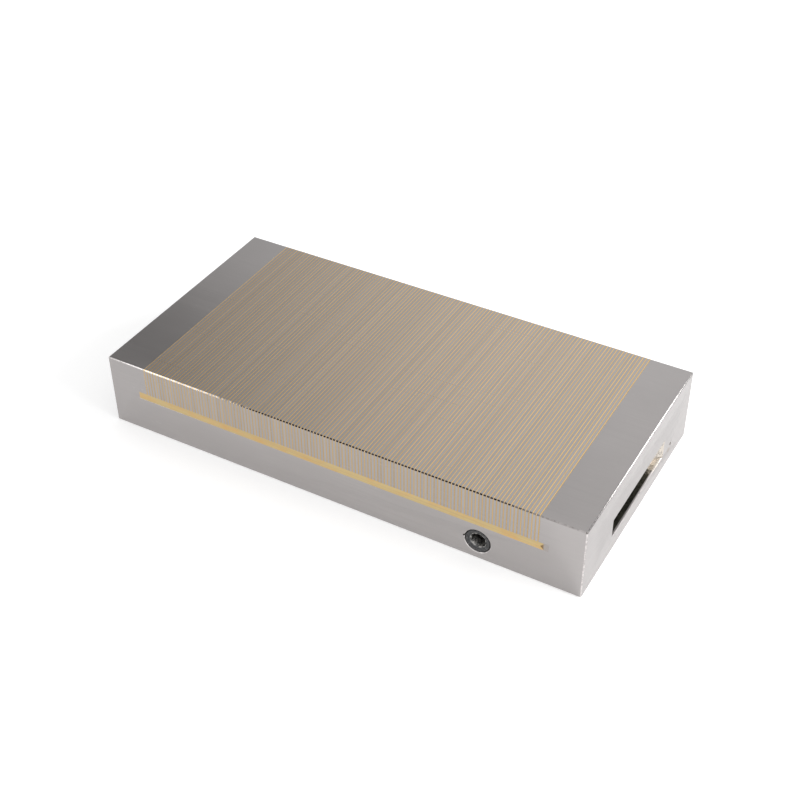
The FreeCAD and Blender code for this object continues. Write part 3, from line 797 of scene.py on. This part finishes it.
def new_piece(name, mesh, materials, body, slot, *nodes):
    """A finished piece that stands for CAD nodes and rides on their body."""
    piece = bpy.data.objects.new(name, mesh)
    bpy.context.scene.collection.objects.link(piece)
    for material in materials:
        mesh.materials.append(material)
    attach(piece, body)
    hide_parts(*nodes)
    return piece


def merged_copy(node):
    """A CAD node's shape as one closed mesh of flat faces, for further work."""
    shape = bmesh.new()
    shape.from_mesh(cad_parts[node].data)
    bmesh.ops.remove_doubles(shape, verts=shape.verts, dist=1e-6)
    bmesh.ops.dissolve_limit(
        shape, angle_limit=math.radians(0.4), verts=shape.verts, edges=shape.edges
    )
    return shape


def crisp(shape, width, wanted=None):
    """Takes a narrow bevel off the sharp edges, as deburring does."""
    edges = [
        edge
        for edge in shape.edges
        if len(edge.link_faces) == 2
        and edge.calc_face_angle() > math.radians(28)
        and edge.calc_length() > 4 * width
        and (wanted is None or wanted(edge))
    ]
    bmesh.ops.bevel(
        shape,
        geom=edges,
        offset=width,
        offset_type="OFFSET",
        segments=1,
        profile=0.5,
        affect="EDGES",
        clamp_overlap=True,
    )


def as_mesh(shape, name, smooth_below=None):
    """A plain mesh from a shape, flat or with its round walls smooth."""
    mesh = bpy.data.meshes.new(name)
    shape.to_mesh(mesh)
    shape.free()
    if smooth_below:
        mesh.shade_smooth()
        mesh.set_sharp_from_angle(angle=math.radians(smooth_below))
    return mesh


def evaluated_mesh(piece, name):
    """The result of a piece's modifiers as a plain mesh. The modifiers are removed."""
    graph = bpy.context.evaluated_depsgraph_get()
    mesh = bpy.data.meshes.new_from_object(
        piece.evaluated_get(graph), preserve_all_data_layers=True, depsgraph=graph
    )
    mesh.name = name
    piece.modifiers.clear()
    for index in reversed(range(len(mesh.materials))):
        if mesh.materials[index] is None:
            mesh.materials.pop(index=index)
    return mesh


def run_tree(tree, inputs, name):
    """What a tree of nodes makes with these inputs, as a plain mesh."""
    carrier = bpy.data.objects.new(name, bpy.data.meshes.new(name))
    bpy.context.scene.collection.objects.link(carrier)
    modifier = carrier.modifiers.new(tree.name, "NODES")
    modifier.node_group = tree
    for item in tree.interface.items_tree:
        if item.in_out == "INPUT" and item.name in inputs:
            modifier[item.identifier] = inputs[item.name]
    mesh = evaluated_mesh(carrier, name)
    bpy.data.objects.remove(carrier)
    return mesh


def new_tree(name, inputs):
    """An empty tree with named inputs. Gives the tree and its inputs' sockets."""
    tree = bpy.data.node_groups.new(name, "GeometryNodeTree")
    tree.interface.new_socket("Geometry", in_out="OUTPUT", socket_type="NodeSocketGeometry")
    for socket_name, kind in inputs:
        tree.interface.new_socket(socket_name, in_out="INPUT", socket_type="NodeSocket" + kind)
    given = tree.nodes.new("NodeGroupInput").outputs
    return tree, {socket_name: given[socket_name] for socket_name, _ in inputs}


def row_of_plates():
    """A row of flat plates on edge, with the edge break along their two top corners.

    The plate is a box of 1 by 3 by 2 cells, whose inner lines are moved to the corners of
    the edge break.
    """
    tree, given = new_tree(
        "Row of plates",
        [
            ("Count", "Int"),
            ("Start", "Float"),
            ("Pitch", "Float"),
            ("Thickness", "Float"),
            ("Depth", "Float"),
            ("Floor", "Float"),
            ("Top", "Float"),
            ("Edge break", "Float"),
            ("Seed", "Int"),
            ("Metal", "Material"),
            ("Edge metal", "Material"),
        ],
    )

    height = add_node(
        tree, "ShaderNodeMath", {0: given["Top"], 1: given["Floor"]}, operation="SUBTRACT"
    ).outputs[0]
    size = add_node(
        tree,
        "ShaderNodeCombineXYZ",
        {0: given["Thickness"], 1: given["Depth"], 2: height},
    ).outputs[0]
    box = add_node(
        tree,
        "GeometryNodeMeshCube",
        {"Size": size, "Vertices X": 2, "Vertices Y": 4, "Vertices Z": 3},
    ).outputs["Mesh"]

    place = add_node(tree, "GeometryNodeInputPosition").outputs[0]
    x, y, z = add_node(tree, "ShaderNodeSeparateXYZ", {0: place}).outputs
    half_depth = add_node(
        tree, "ShaderNodeMath", {0: given["Depth"], 1: 0.5}, operation="MULTIPLY"
    ).outputs[0]
    half_height = add_node(
        tree, "ShaderNodeMath", {0: height, 1: 0.5}, operation="MULTIPLY"
    ).outputs[0]
    half_break = add_node(
        tree, "ShaderNodeMath", {0: given["Edge break"], 1: 0.5}, operation="MULTIPLY"
    ).outputs[0]
    outer = add_node(
        tree,
        "ShaderNodeMath",
        {
            0: add_node(tree, "ShaderNodeMath", {0: y}, operation="ABSOLUTE").outputs[0],
            1: add_node(
                tree, "ShaderNodeMath", {0: half_depth, 1: 0.7}, operation="MULTIPLY"
            ).outputs[0],
        },
        operation="GREATER_THAN",
    ).outputs[0]
    above = add_node(
        tree,
        "ShaderNodeMath",
        {
            0: z,
            1: add_node(
                tree, "ShaderNodeMath", {0: half_height, 1: 0.5}, operation="MULTIPLY"
            ).outputs[0],
        },
        operation="GREATER_THAN",
    ).outputs[0]
    below = add_node(
        tree,
        "ShaderNodeMath",
        {
            0: z,
            1: add_node(
                tree, "ShaderNodeMath", {0: half_height, 1: -0.5}, operation="MULTIPLY"
            ).outputs[0],
        },
        operation="LESS_THAN",
    ).outputs[0]
    corner = add_node(
        tree, "ShaderNodeMath", {0: outer, 1: above}, operation="MULTIPLY"
    ).outputs[0]
    inner_y = add_node(
        tree, "ShaderNodeMath", {0: half_depth, 1: given["Edge break"]}, operation="SUBTRACT"
    ).outputs[0]
    outer_y = add_node(
        tree,
        "ShaderNodeMath",
        {
            0: half_depth,
            1: add_node(
                tree, "ShaderNodeMath", {0: corner, 1: half_break}, operation="MULTIPLY"
            ).outputs[0],
        },
        operation="SUBTRACT",
    ).outputs[0]
    blend_y = add_node(tree, "ShaderNodeMix", {0: outer, 2: inner_y, 3: outer_y}).outputs[0]
    moved_y = add_node(
        tree,
        "ShaderNodeMath",
        {0: blend_y, 1: add_node(tree, "ShaderNodeMath", {0: y}, operation="SIGN").outputs[0]},
        operation="MULTIPLY",
    ).outputs[0]
    top_z = add_node(
        tree,
        "ShaderNodeMath",
        {
            0: given["Top"],
            1: add_node(
                tree, "ShaderNodeMath", {0: corner, 1: half_break}, operation="MULTIPLY"
            ).outputs[0],
        },
        operation="SUBTRACT",
    ).outputs[0]
    line_z = add_node(
        tree, "ShaderNodeMath", {0: given["Top"], 1: given["Edge break"]}, operation="SUBTRACT"
    ).outputs[0]
    lower_z = add_node(tree, "ShaderNodeMix", {0: below, 2: line_z, 3: given["Floor"]}).outputs[0]
    moved_z = add_node(tree, "ShaderNodeMix", {0: above, 2: lower_z, 3: top_z}).outputs[0]
    moved = add_node(tree, "ShaderNodeCombineXYZ", {0: x, 1: moved_y, 2: moved_z}).outputs[0]
    plate = add_node(
        tree, "GeometryNodeSetPosition", {"Geometry": box, "Position": moved}
    ).outputs[0]

    across = add_node(
        tree,
        "ShaderNodeMath",
        {
            0: add_node(tree, "ShaderNodeMath", {0: x, 1: 2}, operation="MULTIPLY").outputs[0],
            1: given["Thickness"],
        },
        operation="DIVIDE",
    ).outputs[0]
    plate = add_node(
        tree,
        "GeometryNodeStoreNamedAttribute",
        {"Geometry": plate, "Name": "across", "Value": across},
        data_type="FLOAT",
        domain="POINT",
    ).outputs[0]

    start = add_node(tree, "ShaderNodeCombineXYZ", {0: given["Start"]}).outputs[0]
    step = add_node(tree, "ShaderNodeCombineXYZ", {0: given["Pitch"]}).outputs[0]
    places = add_node(
        tree,
        "GeometryNodeMeshLine",
        {"Count": given["Count"], "Start Location": start, "Offset": step},
    ).outputs[0]
    row = add_node(
        tree, "GeometryNodeInstanceOnPoints", {"Points": places, "Instance": plate}
    ).outputs[0]
    tone = add_node(tree, "FunctionNodeRandomValue", {"Seed": given["Seed"]}, data_type="FLOAT")
    toned = add_node(
        tree,
        "GeometryNodeStoreNamedAttribute",
        {"Geometry": row, "Name": "tone", "Value": tone.outputs[1]},
        data_type="FLOAT",
        domain="INSTANCE",
    ).outputs[0]
    solid = add_node(tree, "GeometryNodeRealizeInstances", {0: toned}).outputs[0]
    covered = add_node(
        tree, "GeometryNodeSetMaterial", {"Geometry": solid, "Material": given["Metal"]}
    ).outputs[0]
    normal = add_node(tree, "GeometryNodeInputNormal").outputs[0]
    _, normal_y, normal_z = add_node(tree, "ShaderNodeSeparateXYZ", {0: normal}).outputs
    sloped = add_node(
        tree,
        "ShaderNodeMath",
        {
            0: add_node(
                tree,
                "ShaderNodeMath",
                {
                    0: add_node(
                        tree, "ShaderNodeMath", {0: normal_y}, operation="ABSOLUTE"
                    ).outputs[0],
                    1: 0.5,
                },
                operation="GREATER_THAN",
            ).outputs[0],
            1: add_node(
                tree, "ShaderNodeMath", {0: normal_z, 1: 0.5}, operation="GREATER_THAN"
            ).outputs[0],
        },
        operation="MULTIPLY",
    ).outputs[0]
    edged = add_node(
        tree,
        "GeometryNodeSetMaterial",
        {"Geometry": covered, "Selection": sloped, "Material": given["Edge metal"]},
    ).outputs[0]
    add_node(tree, "NodeGroupOutput", {"Geometry": edged})
    return tree


def screws_in_two_rows():
    """One screw repeated on a grid of three by two places."""
    tree, given = new_tree(
        "Screws in two rows",
        [
            ("Screw", "Object"),
            ("Along", "Float"),
            ("Across", "Float"),
            ("Level", "Float"),
            ("Metal", "Material"),
        ],
    )
    grid = add_node(
        tree,
        "GeometryNodeMeshGrid",
        {"Size X": given["Along"], "Size Y": given["Across"], "Vertices X": 3, "Vertices Y": 2},
    ).outputs["Mesh"]
    lift = add_node(tree, "ShaderNodeCombineXYZ", {2: given["Level"]}).outputs[0]
    places = add_node(
        tree, "GeometryNodeSetPosition", {"Geometry": grid, "Offset": lift}
    ).outputs[0]
    screw = add_node(tree, "GeometryNodeObjectInfo", {"Object": given["Screw"]})
    turn = add_node(
        tree,
        "FunctionNodeRandomValue",
        {0: (0, 0, 0), 1: (0, 0, math.tau), "Seed": 4},
        data_type="FLOAT_VECTOR",
    ).outputs[0]
    screws = add_node(
        tree,
        "GeometryNodeInstanceOnPoints",
        {"Points": places, "Instance": screw.outputs["Geometry"], "Rotation": turn},
    ).outputs[0]
    solid = add_node(tree, "GeometryNodeRealizeInstances", {0: screws}).outputs[0]
    metal_set = add_node(
        tree, "GeometryNodeSetMaterial", {"Geometry": solid, "Material": given["Metal"]}
    ).outputs[0]
    add_node(tree, "NodeGroupOutput", {"Geometry": metal_set})
    return tree


def socket_screw(outline, flats, socket_depth, sides=48):
    """A turned screw with a hexagon socket in its lower end.

    The outline runs from the rim of the socket's face to the other end, as pairs of a radius
    and a height.
    """
    shape = bmesh.new()

    def ring(radius, height):
        return [
            shape.verts.new(
                (
                    radius * math.cos(math.tau * i / sides),
                    radius * math.sin(math.tau * i / sides),
                    height,
                )
            )
            for i in range(sides)
        ]

    def hexagon(height, across):
        points = []
        for i in range(sides):
            angle = math.tau * i / sides
            off_flat = (angle % (math.pi / 3)) - math.pi / 6
            radius = across / 2 / math.cos(off_flat)
            points.append(
                shape.verts.new((radius * math.cos(angle), radius * math.sin(angle), height))
            )
        return points

    face_height = outline[0][1]
    rim = 0.08 * flats
    rings = [
        hexagon(face_height + socket_depth, flats),
        hexagon(face_height + rim, flats),
        ring(flats / 2 / math.cos(math.pi / 6) + rim, face_height),
    ]
    rings += [ring(radius, height) for radius, height in outline]
    for lower, upper in zip(rings, rings[1:]):
        for i in range(sides):
            j = (i + 1) % sides
            shape.faces.new((lower[i], lower[j], upper[j], upper[i]))
    shape.faces.new(rings[-1])
    point = shape.verts.new((0, 0, face_height + socket_depth + 0.25 * flats))
    for i in range(sides):
        shape.faces.new((rings[0][(i + 1) % sides], rings[0][i], point))
    bmesh.ops.recalc_face_normals(shape, faces=shape.faces)
    return shape


# ------------------------------------------------------------------------------ operators


class CHUCK_OT_housing(bpy.types.Operator):
    """Finish the steel housing, with its broken edges and its milled slots"""

    bl_idname = "chuck.housing"
    bl_label = "Housing"

    def execute(self, context):
        sizes, colours = context.scene.chuck_sizes, context.scene.chuck_colours
        steel = tuple(colours.steel)
        shape = merged_copy("housing")
        crisp(shape, sizes.crisp_edge, self.outside)
        for face in shape.faces:
            face.material_index = self.finish_of(face)
        mesh = as_mesh(shape, "housing_body", 26)
        # the stoned edges carry painted highlight and shade, and the milled steel painted shade
        # and light
        finishes = [
            ground_steel("Surface-ground steel", steel),
            stoned_edge_and_painted_light("Stoned edge steel", steel, "#4A4440"),
            milled_steel_in_painted_shade("Disc-milled steel", steel),
        ]
        new_piece("housing_body", mesh, finishes, "base", "housing_steel", "housing")
        return {"FINISHED"}

    @staticmethod
    def outside(edge):
        """Whether an edge lies on the outside of the block."""
        border = 0.7 * MM
        return all(
            HALF_LENGTH - abs(corner.co.x) < border
            or HALF_WIDTH - abs(corner.co.y) < border
            or TOP - corner.co.z < border
            for corner in edge.verts
        )

    @staticmethod
    def finish_of(face):
        """0 for a ground face, 1 for a broken edge, 2 for what was only milled."""
        edge_depth = 0.65 * MM
        middle, normal = face.calc_center_median(), face.normal
        skin = min(HALF_LENGTH - abs(middle.x), HALF_WIDTH - abs(middle.y))
        skin = min(skin, TOP - middle.z, middle.z)
        if skin > edge_depth:
            return 2
        straight = max(abs(part) for part in normal)
        if skin < 0.01 * MM and straight > 0.99:
            return 0
        return 1 if skin < edge_depth and straight < 0.99 else 2


class CHUCK_OT_working_face(bpy.types.Operator):
    """Lay the pack of steel and brass plates"""

    bl_idname = "chuck.working_face"
    bl_label = "Working face"

    def execute(self, context):
        sizes, colours = context.scene.chuck_sizes, context.scene.chuck_colours
        tree = row_of_plates()
        steel, brass = tuple(colours.steel), tuple(colours.plate_brass)
        # each row: node, thickness, colour, roughness, spread, painted light on faces that look
        # up, colour of the painted shade along the front edge, slot, seed
        rows = [
            ("steel_plates", sizes.steel, steel, 0.32, 0.05, 1.07, "#2C2622", "plate_steel", 3),
            ("brass_plates", sizes.brass, brass, 0.30, 0.10, 1.48, "#B5A184", "plate_brass", 7),
        ]
        pitch = sizes.steel + sizes.brass
        for node, thickness, colour, roughness, spread, top_painted_light, edge_shade_colour, slot, seed in rows:
            low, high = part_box(node)
            count = round((high.x - low.x - thickness) / pitch) + 1
            face = plate_metal(
                "Ground " + node.replace("_", " "), colour, roughness, spread, top_painted_light
            )
            edge = stoned_edge_and_painted_light("Stoned edge of " + node.replace("_", " "), colour, edge_shade_colour)
            mesh = run_tree(
                tree,
                {
                    "Count": count,
                    "Start": low.x + thickness / 2,
                    "Pitch": pitch,
                    "Thickness": thickness,
                    "Depth": high.y - low.y,
                    "Floor": low.z,
                    "Top": high.z,
                    "Edge break": sizes.edge_break,
                    "Seed": seed,
                    "Metal": face,
                    "Edge metal": edge,
                },
                "pack_" + node,
            )
            if len(mesh.polygons) < count:
                raise RuntimeError("the pack has too few plates")
            new_piece("pack_" + node, mesh, [], "base", slot, node)
        return {"FINISHED"}


class CHUCK_OT_brass_strips(bpy.types.Operator):
    """Finish the brass strips under the pack"""

    bl_idname = "chuck.brass_strips"
    bl_label = "Brass strips"

    def execute(self, context):
        sizes, colours = context.scene.chuck_sizes, context.scene.chuck_colours
        finish = strip_metal("Brazed brass strip", tuple(colours.strip_brass))
        for node in ("front_brass_strip", "back_brass_strip"):
            shape = merged_copy(node)
            crisp(shape, sizes.crisp_edge / 2)
            mesh = as_mesh(shape, node.replace("_brass", ""))
            new_piece(mesh.name, mesh, [finish], "base", "strip_brass", node)
        return {"FINISHED"}


class CHUCK_OT_operating_shaft(bpy.types.Operator):
    """Finish the operating shaft with its hexagon socket"""

    bl_idname = "chuck.operating_shaft"
    bl_label = "Operating shaft"

    def execute(self, context):
        sizes, colours = context.scene.chuck_sizes, context.scene.chuck_colours
        shape = merged_copy("cam_shaft")
        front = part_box("cam_shaft")[0].y
        crisp(
            shape,
            sizes.crisp_edge,
            lambda edge: all(corner.co.y < front + 1.2 * MM for corner in edge.verts),
        )
        mesh = as_mesh(shape, "operating_shaft", 26)
        low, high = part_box("front_bush")
        axis = ((low.x + high.x) / 2, (low.z + high.z) / 2)
        finish = turned_face_steel("Black oxide steel", tuple(colours.black_oxide), axis)
        new_piece("operating_shaft", mesh, [finish], "shaft", "black_steel", "cam_shaft")
        return {"FINISHED"}


class CHUCK_OT_underside(bpy.types.Operator):
    """Finish the bottom cover with its screws and the stop screw"""

    bl_idname = "chuck.underside"
    bl_label = "Underside"

    def execute(self, context):
        sizes, colours = context.scene.chuck_sizes, context.scene.chuck_colours
        black = black_oxide_steel("Black oxide screws", tuple(colours.black_oxide))

        shape = merged_copy("bottom_cover")
        crisp(shape, sizes.crisp_edge)
        mesh = as_mesh(shape, "cover_plate", 26)
        cover = rolled_steel("Cold-rolled steel cover", linear("#A9A9AB"))
        new_piece("cover_plate", mesh, [cover], "base", "cover_steel", "bottom_cover")

        low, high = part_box("cover_screws")
        head, thread = sizes.screw_head / 2, sizes.screw_thread / 2
        length = high.z - low.z
        cone = head - thread
        rim, point, socket_depth = 0.1 * MM, 0.4 * MM, 1.2 * MM
        outline = [
            (head - rim, 0.0),
            (head, rim),
            (head, 2 * rim),
            (thread, 2 * rim + cone),
            (thread, length - point),
            (thread - point, length),
        ]
        shape = socket_screw(outline, sizes.screw_socket, socket_depth)
        pattern = bpy.data.objects.new("screw_pattern", as_mesh(shape, "screw_pattern", 26))
        bpy.context.scene.collection.objects.link(pattern)
        mesh = run_tree(
            screws_in_two_rows(),
            {
                "Screw": pattern,
                "Along": high.x - low.x - 2 * head,
                "Across": high.y - low.y - 2 * head,
                "Level": low.z,
                "Metal": black,
            },
            "cover_screw_set",
        )
        bpy.data.objects.remove(pattern)
        if len(mesh.polygons) < 6:
            raise RuntimeError("the cover's screws were not made")
        new_piece("cover_screw_set", mesh, [], "base", "screw_steel", "cover_screws")
        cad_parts["stop_screw"].data.materials.clear()
        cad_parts["stop_screw"].data.materials.append(black)
        return {"FINISHED"}


class CHUCK_OT_inside_parts(bpy.types.Operator):
    """Give the magnets, bars, carrier, bushes and seals their metals and rubber"""

    bl_idname = "chuck.inside_parts"
    bl_label = "Inside parts"

    def execute(self, context):
        iron = machined_metal("Milled pole iron", linear("#8F8D8B"), 0.42, 0.7)
        hard = machined_metal("Hardened ground steel", linear("#9D9C9E"), 0.26, 0.5)
        bronze = machined_metal("Sintered bronze", linear("#B98A55"), 0.4, 0.6)
        aluminium = machined_metal("Milled aluminium", linear("#CDCDCF"), 0.36, 1.1)
        sheet = machined_metal("Rolled brass sheet", linear("#D2AC6A"), 0.34, 1.0)
        nickel = plated_magnet("Nickel-plated magnet", linear("#CFCAC0"))
        rubber = nitrile_rubber("Moulded nitrile rubber")
        finishes = {
            "fixed_pole_bars": (iron, "pole_iron"),
            "moving_pole_bars": (iron, "pole_iron"),
            "fixed_magnets": (nickel, "magnet_nickel"),
            "moving_magnets": (nickel, "magnet_nickel"),
            "grid_sheet": (sheet, "strip_brass"),
            "carrier_frame": (aluminium, "aluminium"),
            "cam_plates": (hard, "hard_steel"),
            "wear_strips": (bronze, "bronze"),
            "front_bush": (bronze, "bronze"),
            "rear_bush": (bronze, "bronze"),
            "seal_ring": (rubber, "rubber"),
            "cover_seal": (rubber, "rubber"),
        }
        for node, (finish, slot) in finishes.items():
            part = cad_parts[node]
            part.data.materials.clear()
            part.data.materials.append(finish)
        return {"FINISHED"}


LAMPS = {
    # name: (place, aim, width, height, power in watts)
    "right_panel": ((1.00, -0.05, 0.55), (0.15, 0.0, 0.0), 0.6, 0.6, 5.5),
    "back_right_panel": ((0.90, 0.90, 0.35), (0.10, 0.0, 0.02), 0.7, 0.4, 13.0),
    "front_left_panel": ((-0.95, -0.75, 0.80), (-0.10, -0.05, 0.04), 0.35, 0.35, 1.0),
}


class CHUCK_OT_stage(bpy.types.Operator):
    """Set the floor, the lamps, the sky and the camera"""

    bl_idname = "chuck.stage"
    bl_label = "Stage"

    def execute(self, context):
        stage = context.scene.chuck_stage
        self.make_floor(tuple(stage.background))
        self.make_card()
        for name, (place, aim, width, height, power) in LAMPS.items():
            lamp = bpy.data.lights.new(name, "AREA")
            lamp.shape = "RECTANGLE"
            lamp.size, lamp.size_y, lamp.energy = width, height, power
            holder = bpy.data.objects.new(name, lamp)
            holder.location = place
            away = Vector(place) - Vector(aim)
            holder.rotation_euler = away.to_track_quat("Z", "Y").to_euler()
            context.scene.collection.objects.link(holder)
        self.make_sky(context.scene, stage.sky)
        self.make_camera(context.scene, stage.lens)
        context.scene.view_settings.view_transform = "Standard"
        return {"FINISHED"}

    @staticmethod
    def seen(tree):
        """1 for what the camera sees, straight, in a gloss or through glass."""
        path = add_node(tree, "ShaderNodeLightPath").outputs
        both = add_node(
            tree,
            "ShaderNodeMath",
            {0: path["Is Camera Ray"], 1: path["Is Glossy Ray"]},
            operation="MAXIMUM",
        ).outputs[0]
        return add_node(
            tree,
            "ShaderNodeMath",
            {0: both, 1: path["Is Transmission Ray"]},
            operation="MAXIMUM",
        ).outputs[0]

    def make_floor(self, colour):
        # matt painted board. It glows a little of its own white for the eye, and keeps the
        # shadow under the chuck
        size, level = 6.0, LOW.z
        mesh = bpy.data.meshes.new("floor")
        corners = [(x * size, y * size, level) for x, y in ((-1, -1), (1, -1), (1, 1), (-1, 1))]
        mesh.from_pydata(corners, [], [(0, 1, 2, 3)])
        floor = bpy.data.objects.new("floor", mesh)
        bpy.context.scene.collection.objects.link(floor)
        material = bpy.data.materials.new("Matt white board")
        material.use_nodes = True
        tree = material.node_tree
        shader = tree.nodes["Principled BSDF"]
        shader.inputs["Base Color"].default_value = shade(colour, 0.8)
        shader.inputs["Roughness"].default_value = 1.0
        shader.inputs["Specular IOR Level"].default_value = 0.0
        shader.inputs["Emission Color"].default_value = colour
        glow = add_node(
            tree, "ShaderNodeMath", {0: self.seen(tree), 1: 0.35}, operation="MULTIPLY"
        ).outputs[0]
        tree.links.new(glow, shader.inputs["Emission Strength"])
        mesh.materials.append(material)

    @staticmethod
    def make_card():
        # card behind the chuck's left, white at its right edge and dim at its left. The
        # working face shows it, and so darkens towards the chuck's left end
        facing, across = Vector((-0.766, 0.643, 0.0)), Vector((0.643, 0.766, 0.0))
        left, right, height = -1.4, 0.78, 3.0
        mesh = bpy.data.meshes.new("card")
        corners = [
            1.5 * facing + u * across + Vector((0, 0, z))
            for u, z in ((left, 0), (right, 0), (right, height), (left, height))
        ]
        mesh.from_pydata(corners, [], [(0, 1, 2, 3)])
        card = bpy.data.objects.new("card", mesh)
        bpy.context.scene.collection.objects.link(card)
        material = bpy.data.materials.new("Graded card")
        material.use_nodes = True
        tree = material.node_tree
        shader = tree.nodes["Principled BSDF"]
        shader.inputs["Base Color"].default_value = (0, 0, 0, 1)
        shader.inputs["Specular IOR Level"].default_value = 0.0
        shader.inputs["Emission Color"].default_value = (1, 1, 1, 1)
        place = add_node(tree, "ShaderNodeTexCoord").outputs["Object"]
        along = add_node(
            tree, "ShaderNodeVectorMath", {0: place, 1: across}, operation="DOT_PRODUCT"
        ).outputs["Value"]
        grade = add_node(
            tree,
            "ShaderNodeMath",
            {
                0: add_node(
                    tree, "ShaderNodeMapRange", {"Value": along, 1: 0.0, 2: right}
                ).outputs[0],
                1: 0.75,
            },
            operation="POWER",
        ).outputs[0]
        level = add_node(
            tree, "ShaderNodeMapRange", {"Value": grade, 1: 0.0, 2: 1.0, 3: 0.27, 4: 1.0}
        ).outputs[0]
        tree.links.new(level, shader.inputs["Emission Strength"])
        mesh.materials.append(material)
        card.visible_camera = False
        card.visible_shadow = False
        card.visible_diffuse = False

    def make_sky(self, scene, level):
        world = bpy.data.worlds.new("Pale studio")
        world.use_nodes = True
        tree = world.node_tree
        sky = tree.nodes["Background"]
        sky.inputs["Color"].default_value = (1, 1, 1, 1)
        seen = self.seen(tree)
        strength = add_node(tree, "ShaderNodeMix", {0: seen, 2: level, 3: 1.0}).outputs[0]
        tree.links.new(strength, sky.inputs["Strength"])
        scene.world = world

    @staticmethod
    def make_camera(scene, lens):
        azimuth, elevation, roll = (math.radians(a) for a in (-29.77, 38.47, -0.44))
        forward = Vector(
            (
                math.sin(azimuth) * math.cos(elevation),
                math.cos(azimuth) * math.cos(elevation),
                -math.sin(elevation),
            )
        )
        camera = bpy.data.cameras.new("camera")
        camera.sensor_width = 36.0
        camera.lens = lens
        camera.clip_start = 0.01
        holder = bpy.data.objects.new("camera", camera)
        turn = forward.to_track_quat("-Z", "Y").to_matrix().to_4x4()
        turn = turn @ Matrix.Rotation(roll, 4, "Z")
        holder.matrix_world = Matrix.Translation((0.3147, -0.5483, 0.5223)) @ turn
        scene.collection.objects.link(holder)
        scene.camera = holder


class CHUCK_PT_panel(bpy.types.Panel):
    """The chuck's pieces in the sidebar"""

    bl_idname = "CHUCK_PT_panel"
    bl_label = "Magnetic chuck"
    bl_space_type = "VIEW_3D"
    bl_region_type = "UI"
    bl_category = "Chuck"

    def draw(self, context):
        for group in PROPERTY_GROUPS:
            settings = getattr(context.scene, group)
            box = self.layout.box()
            for name in settings.bl_rna.properties.keys():
                if name not in ("rna_type", "name"):
                    box.prop(settings, name)
        for operator in OPERATORS:
            self.layout.operator(operator.bl_idname)


PROPERTY_GROUPS = {
    "chuck_sizes": ChuckSizes,
    "chuck_colours": ChuckColours,
    "chuck_stage": ChuckStage,
}
OPERATORS = (
    CHUCK_OT_housing,
    CHUCK_OT_working_face,
    CHUCK_OT_brass_strips,
    CHUCK_OT_operating_shaft,
    CHUCK_OT_underside,
    CHUCK_OT_inside_parts,
    CHUCK_OT_stage,
)


def register():
    for group in (*PROPERTY_GROUPS.values(), *OPERATORS, CHUCK_PT_panel):
        bpy.utils.register_class(group)
    for name, group in PROPERTY_GROUPS.items():
        setattr(bpy.types.Scene, name, bpy.props.PointerProperty(type=group))


def unregister():
    for name in PROPERTY_GROUPS:
        delattr(bpy.types.Scene, name)
    for group in reversed((*PROPERTY_GROUPS.values(), *OPERATORS, CHUCK_PT_panel)):
        bpy.utils.unregister_class(group)


def main():
    register()
    bpy.ops.chuck.housing()
    bpy.ops.chuck.working_face()
    bpy.ops.chuck.brass_strips()
    bpy.ops.chuck.operating_shaft()
    bpy.ops.chuck.underside()
    bpy.ops.chuck.inside_parts()
    bpy.ops.chuck.stage()


if __name__ == "__main__":
    main()
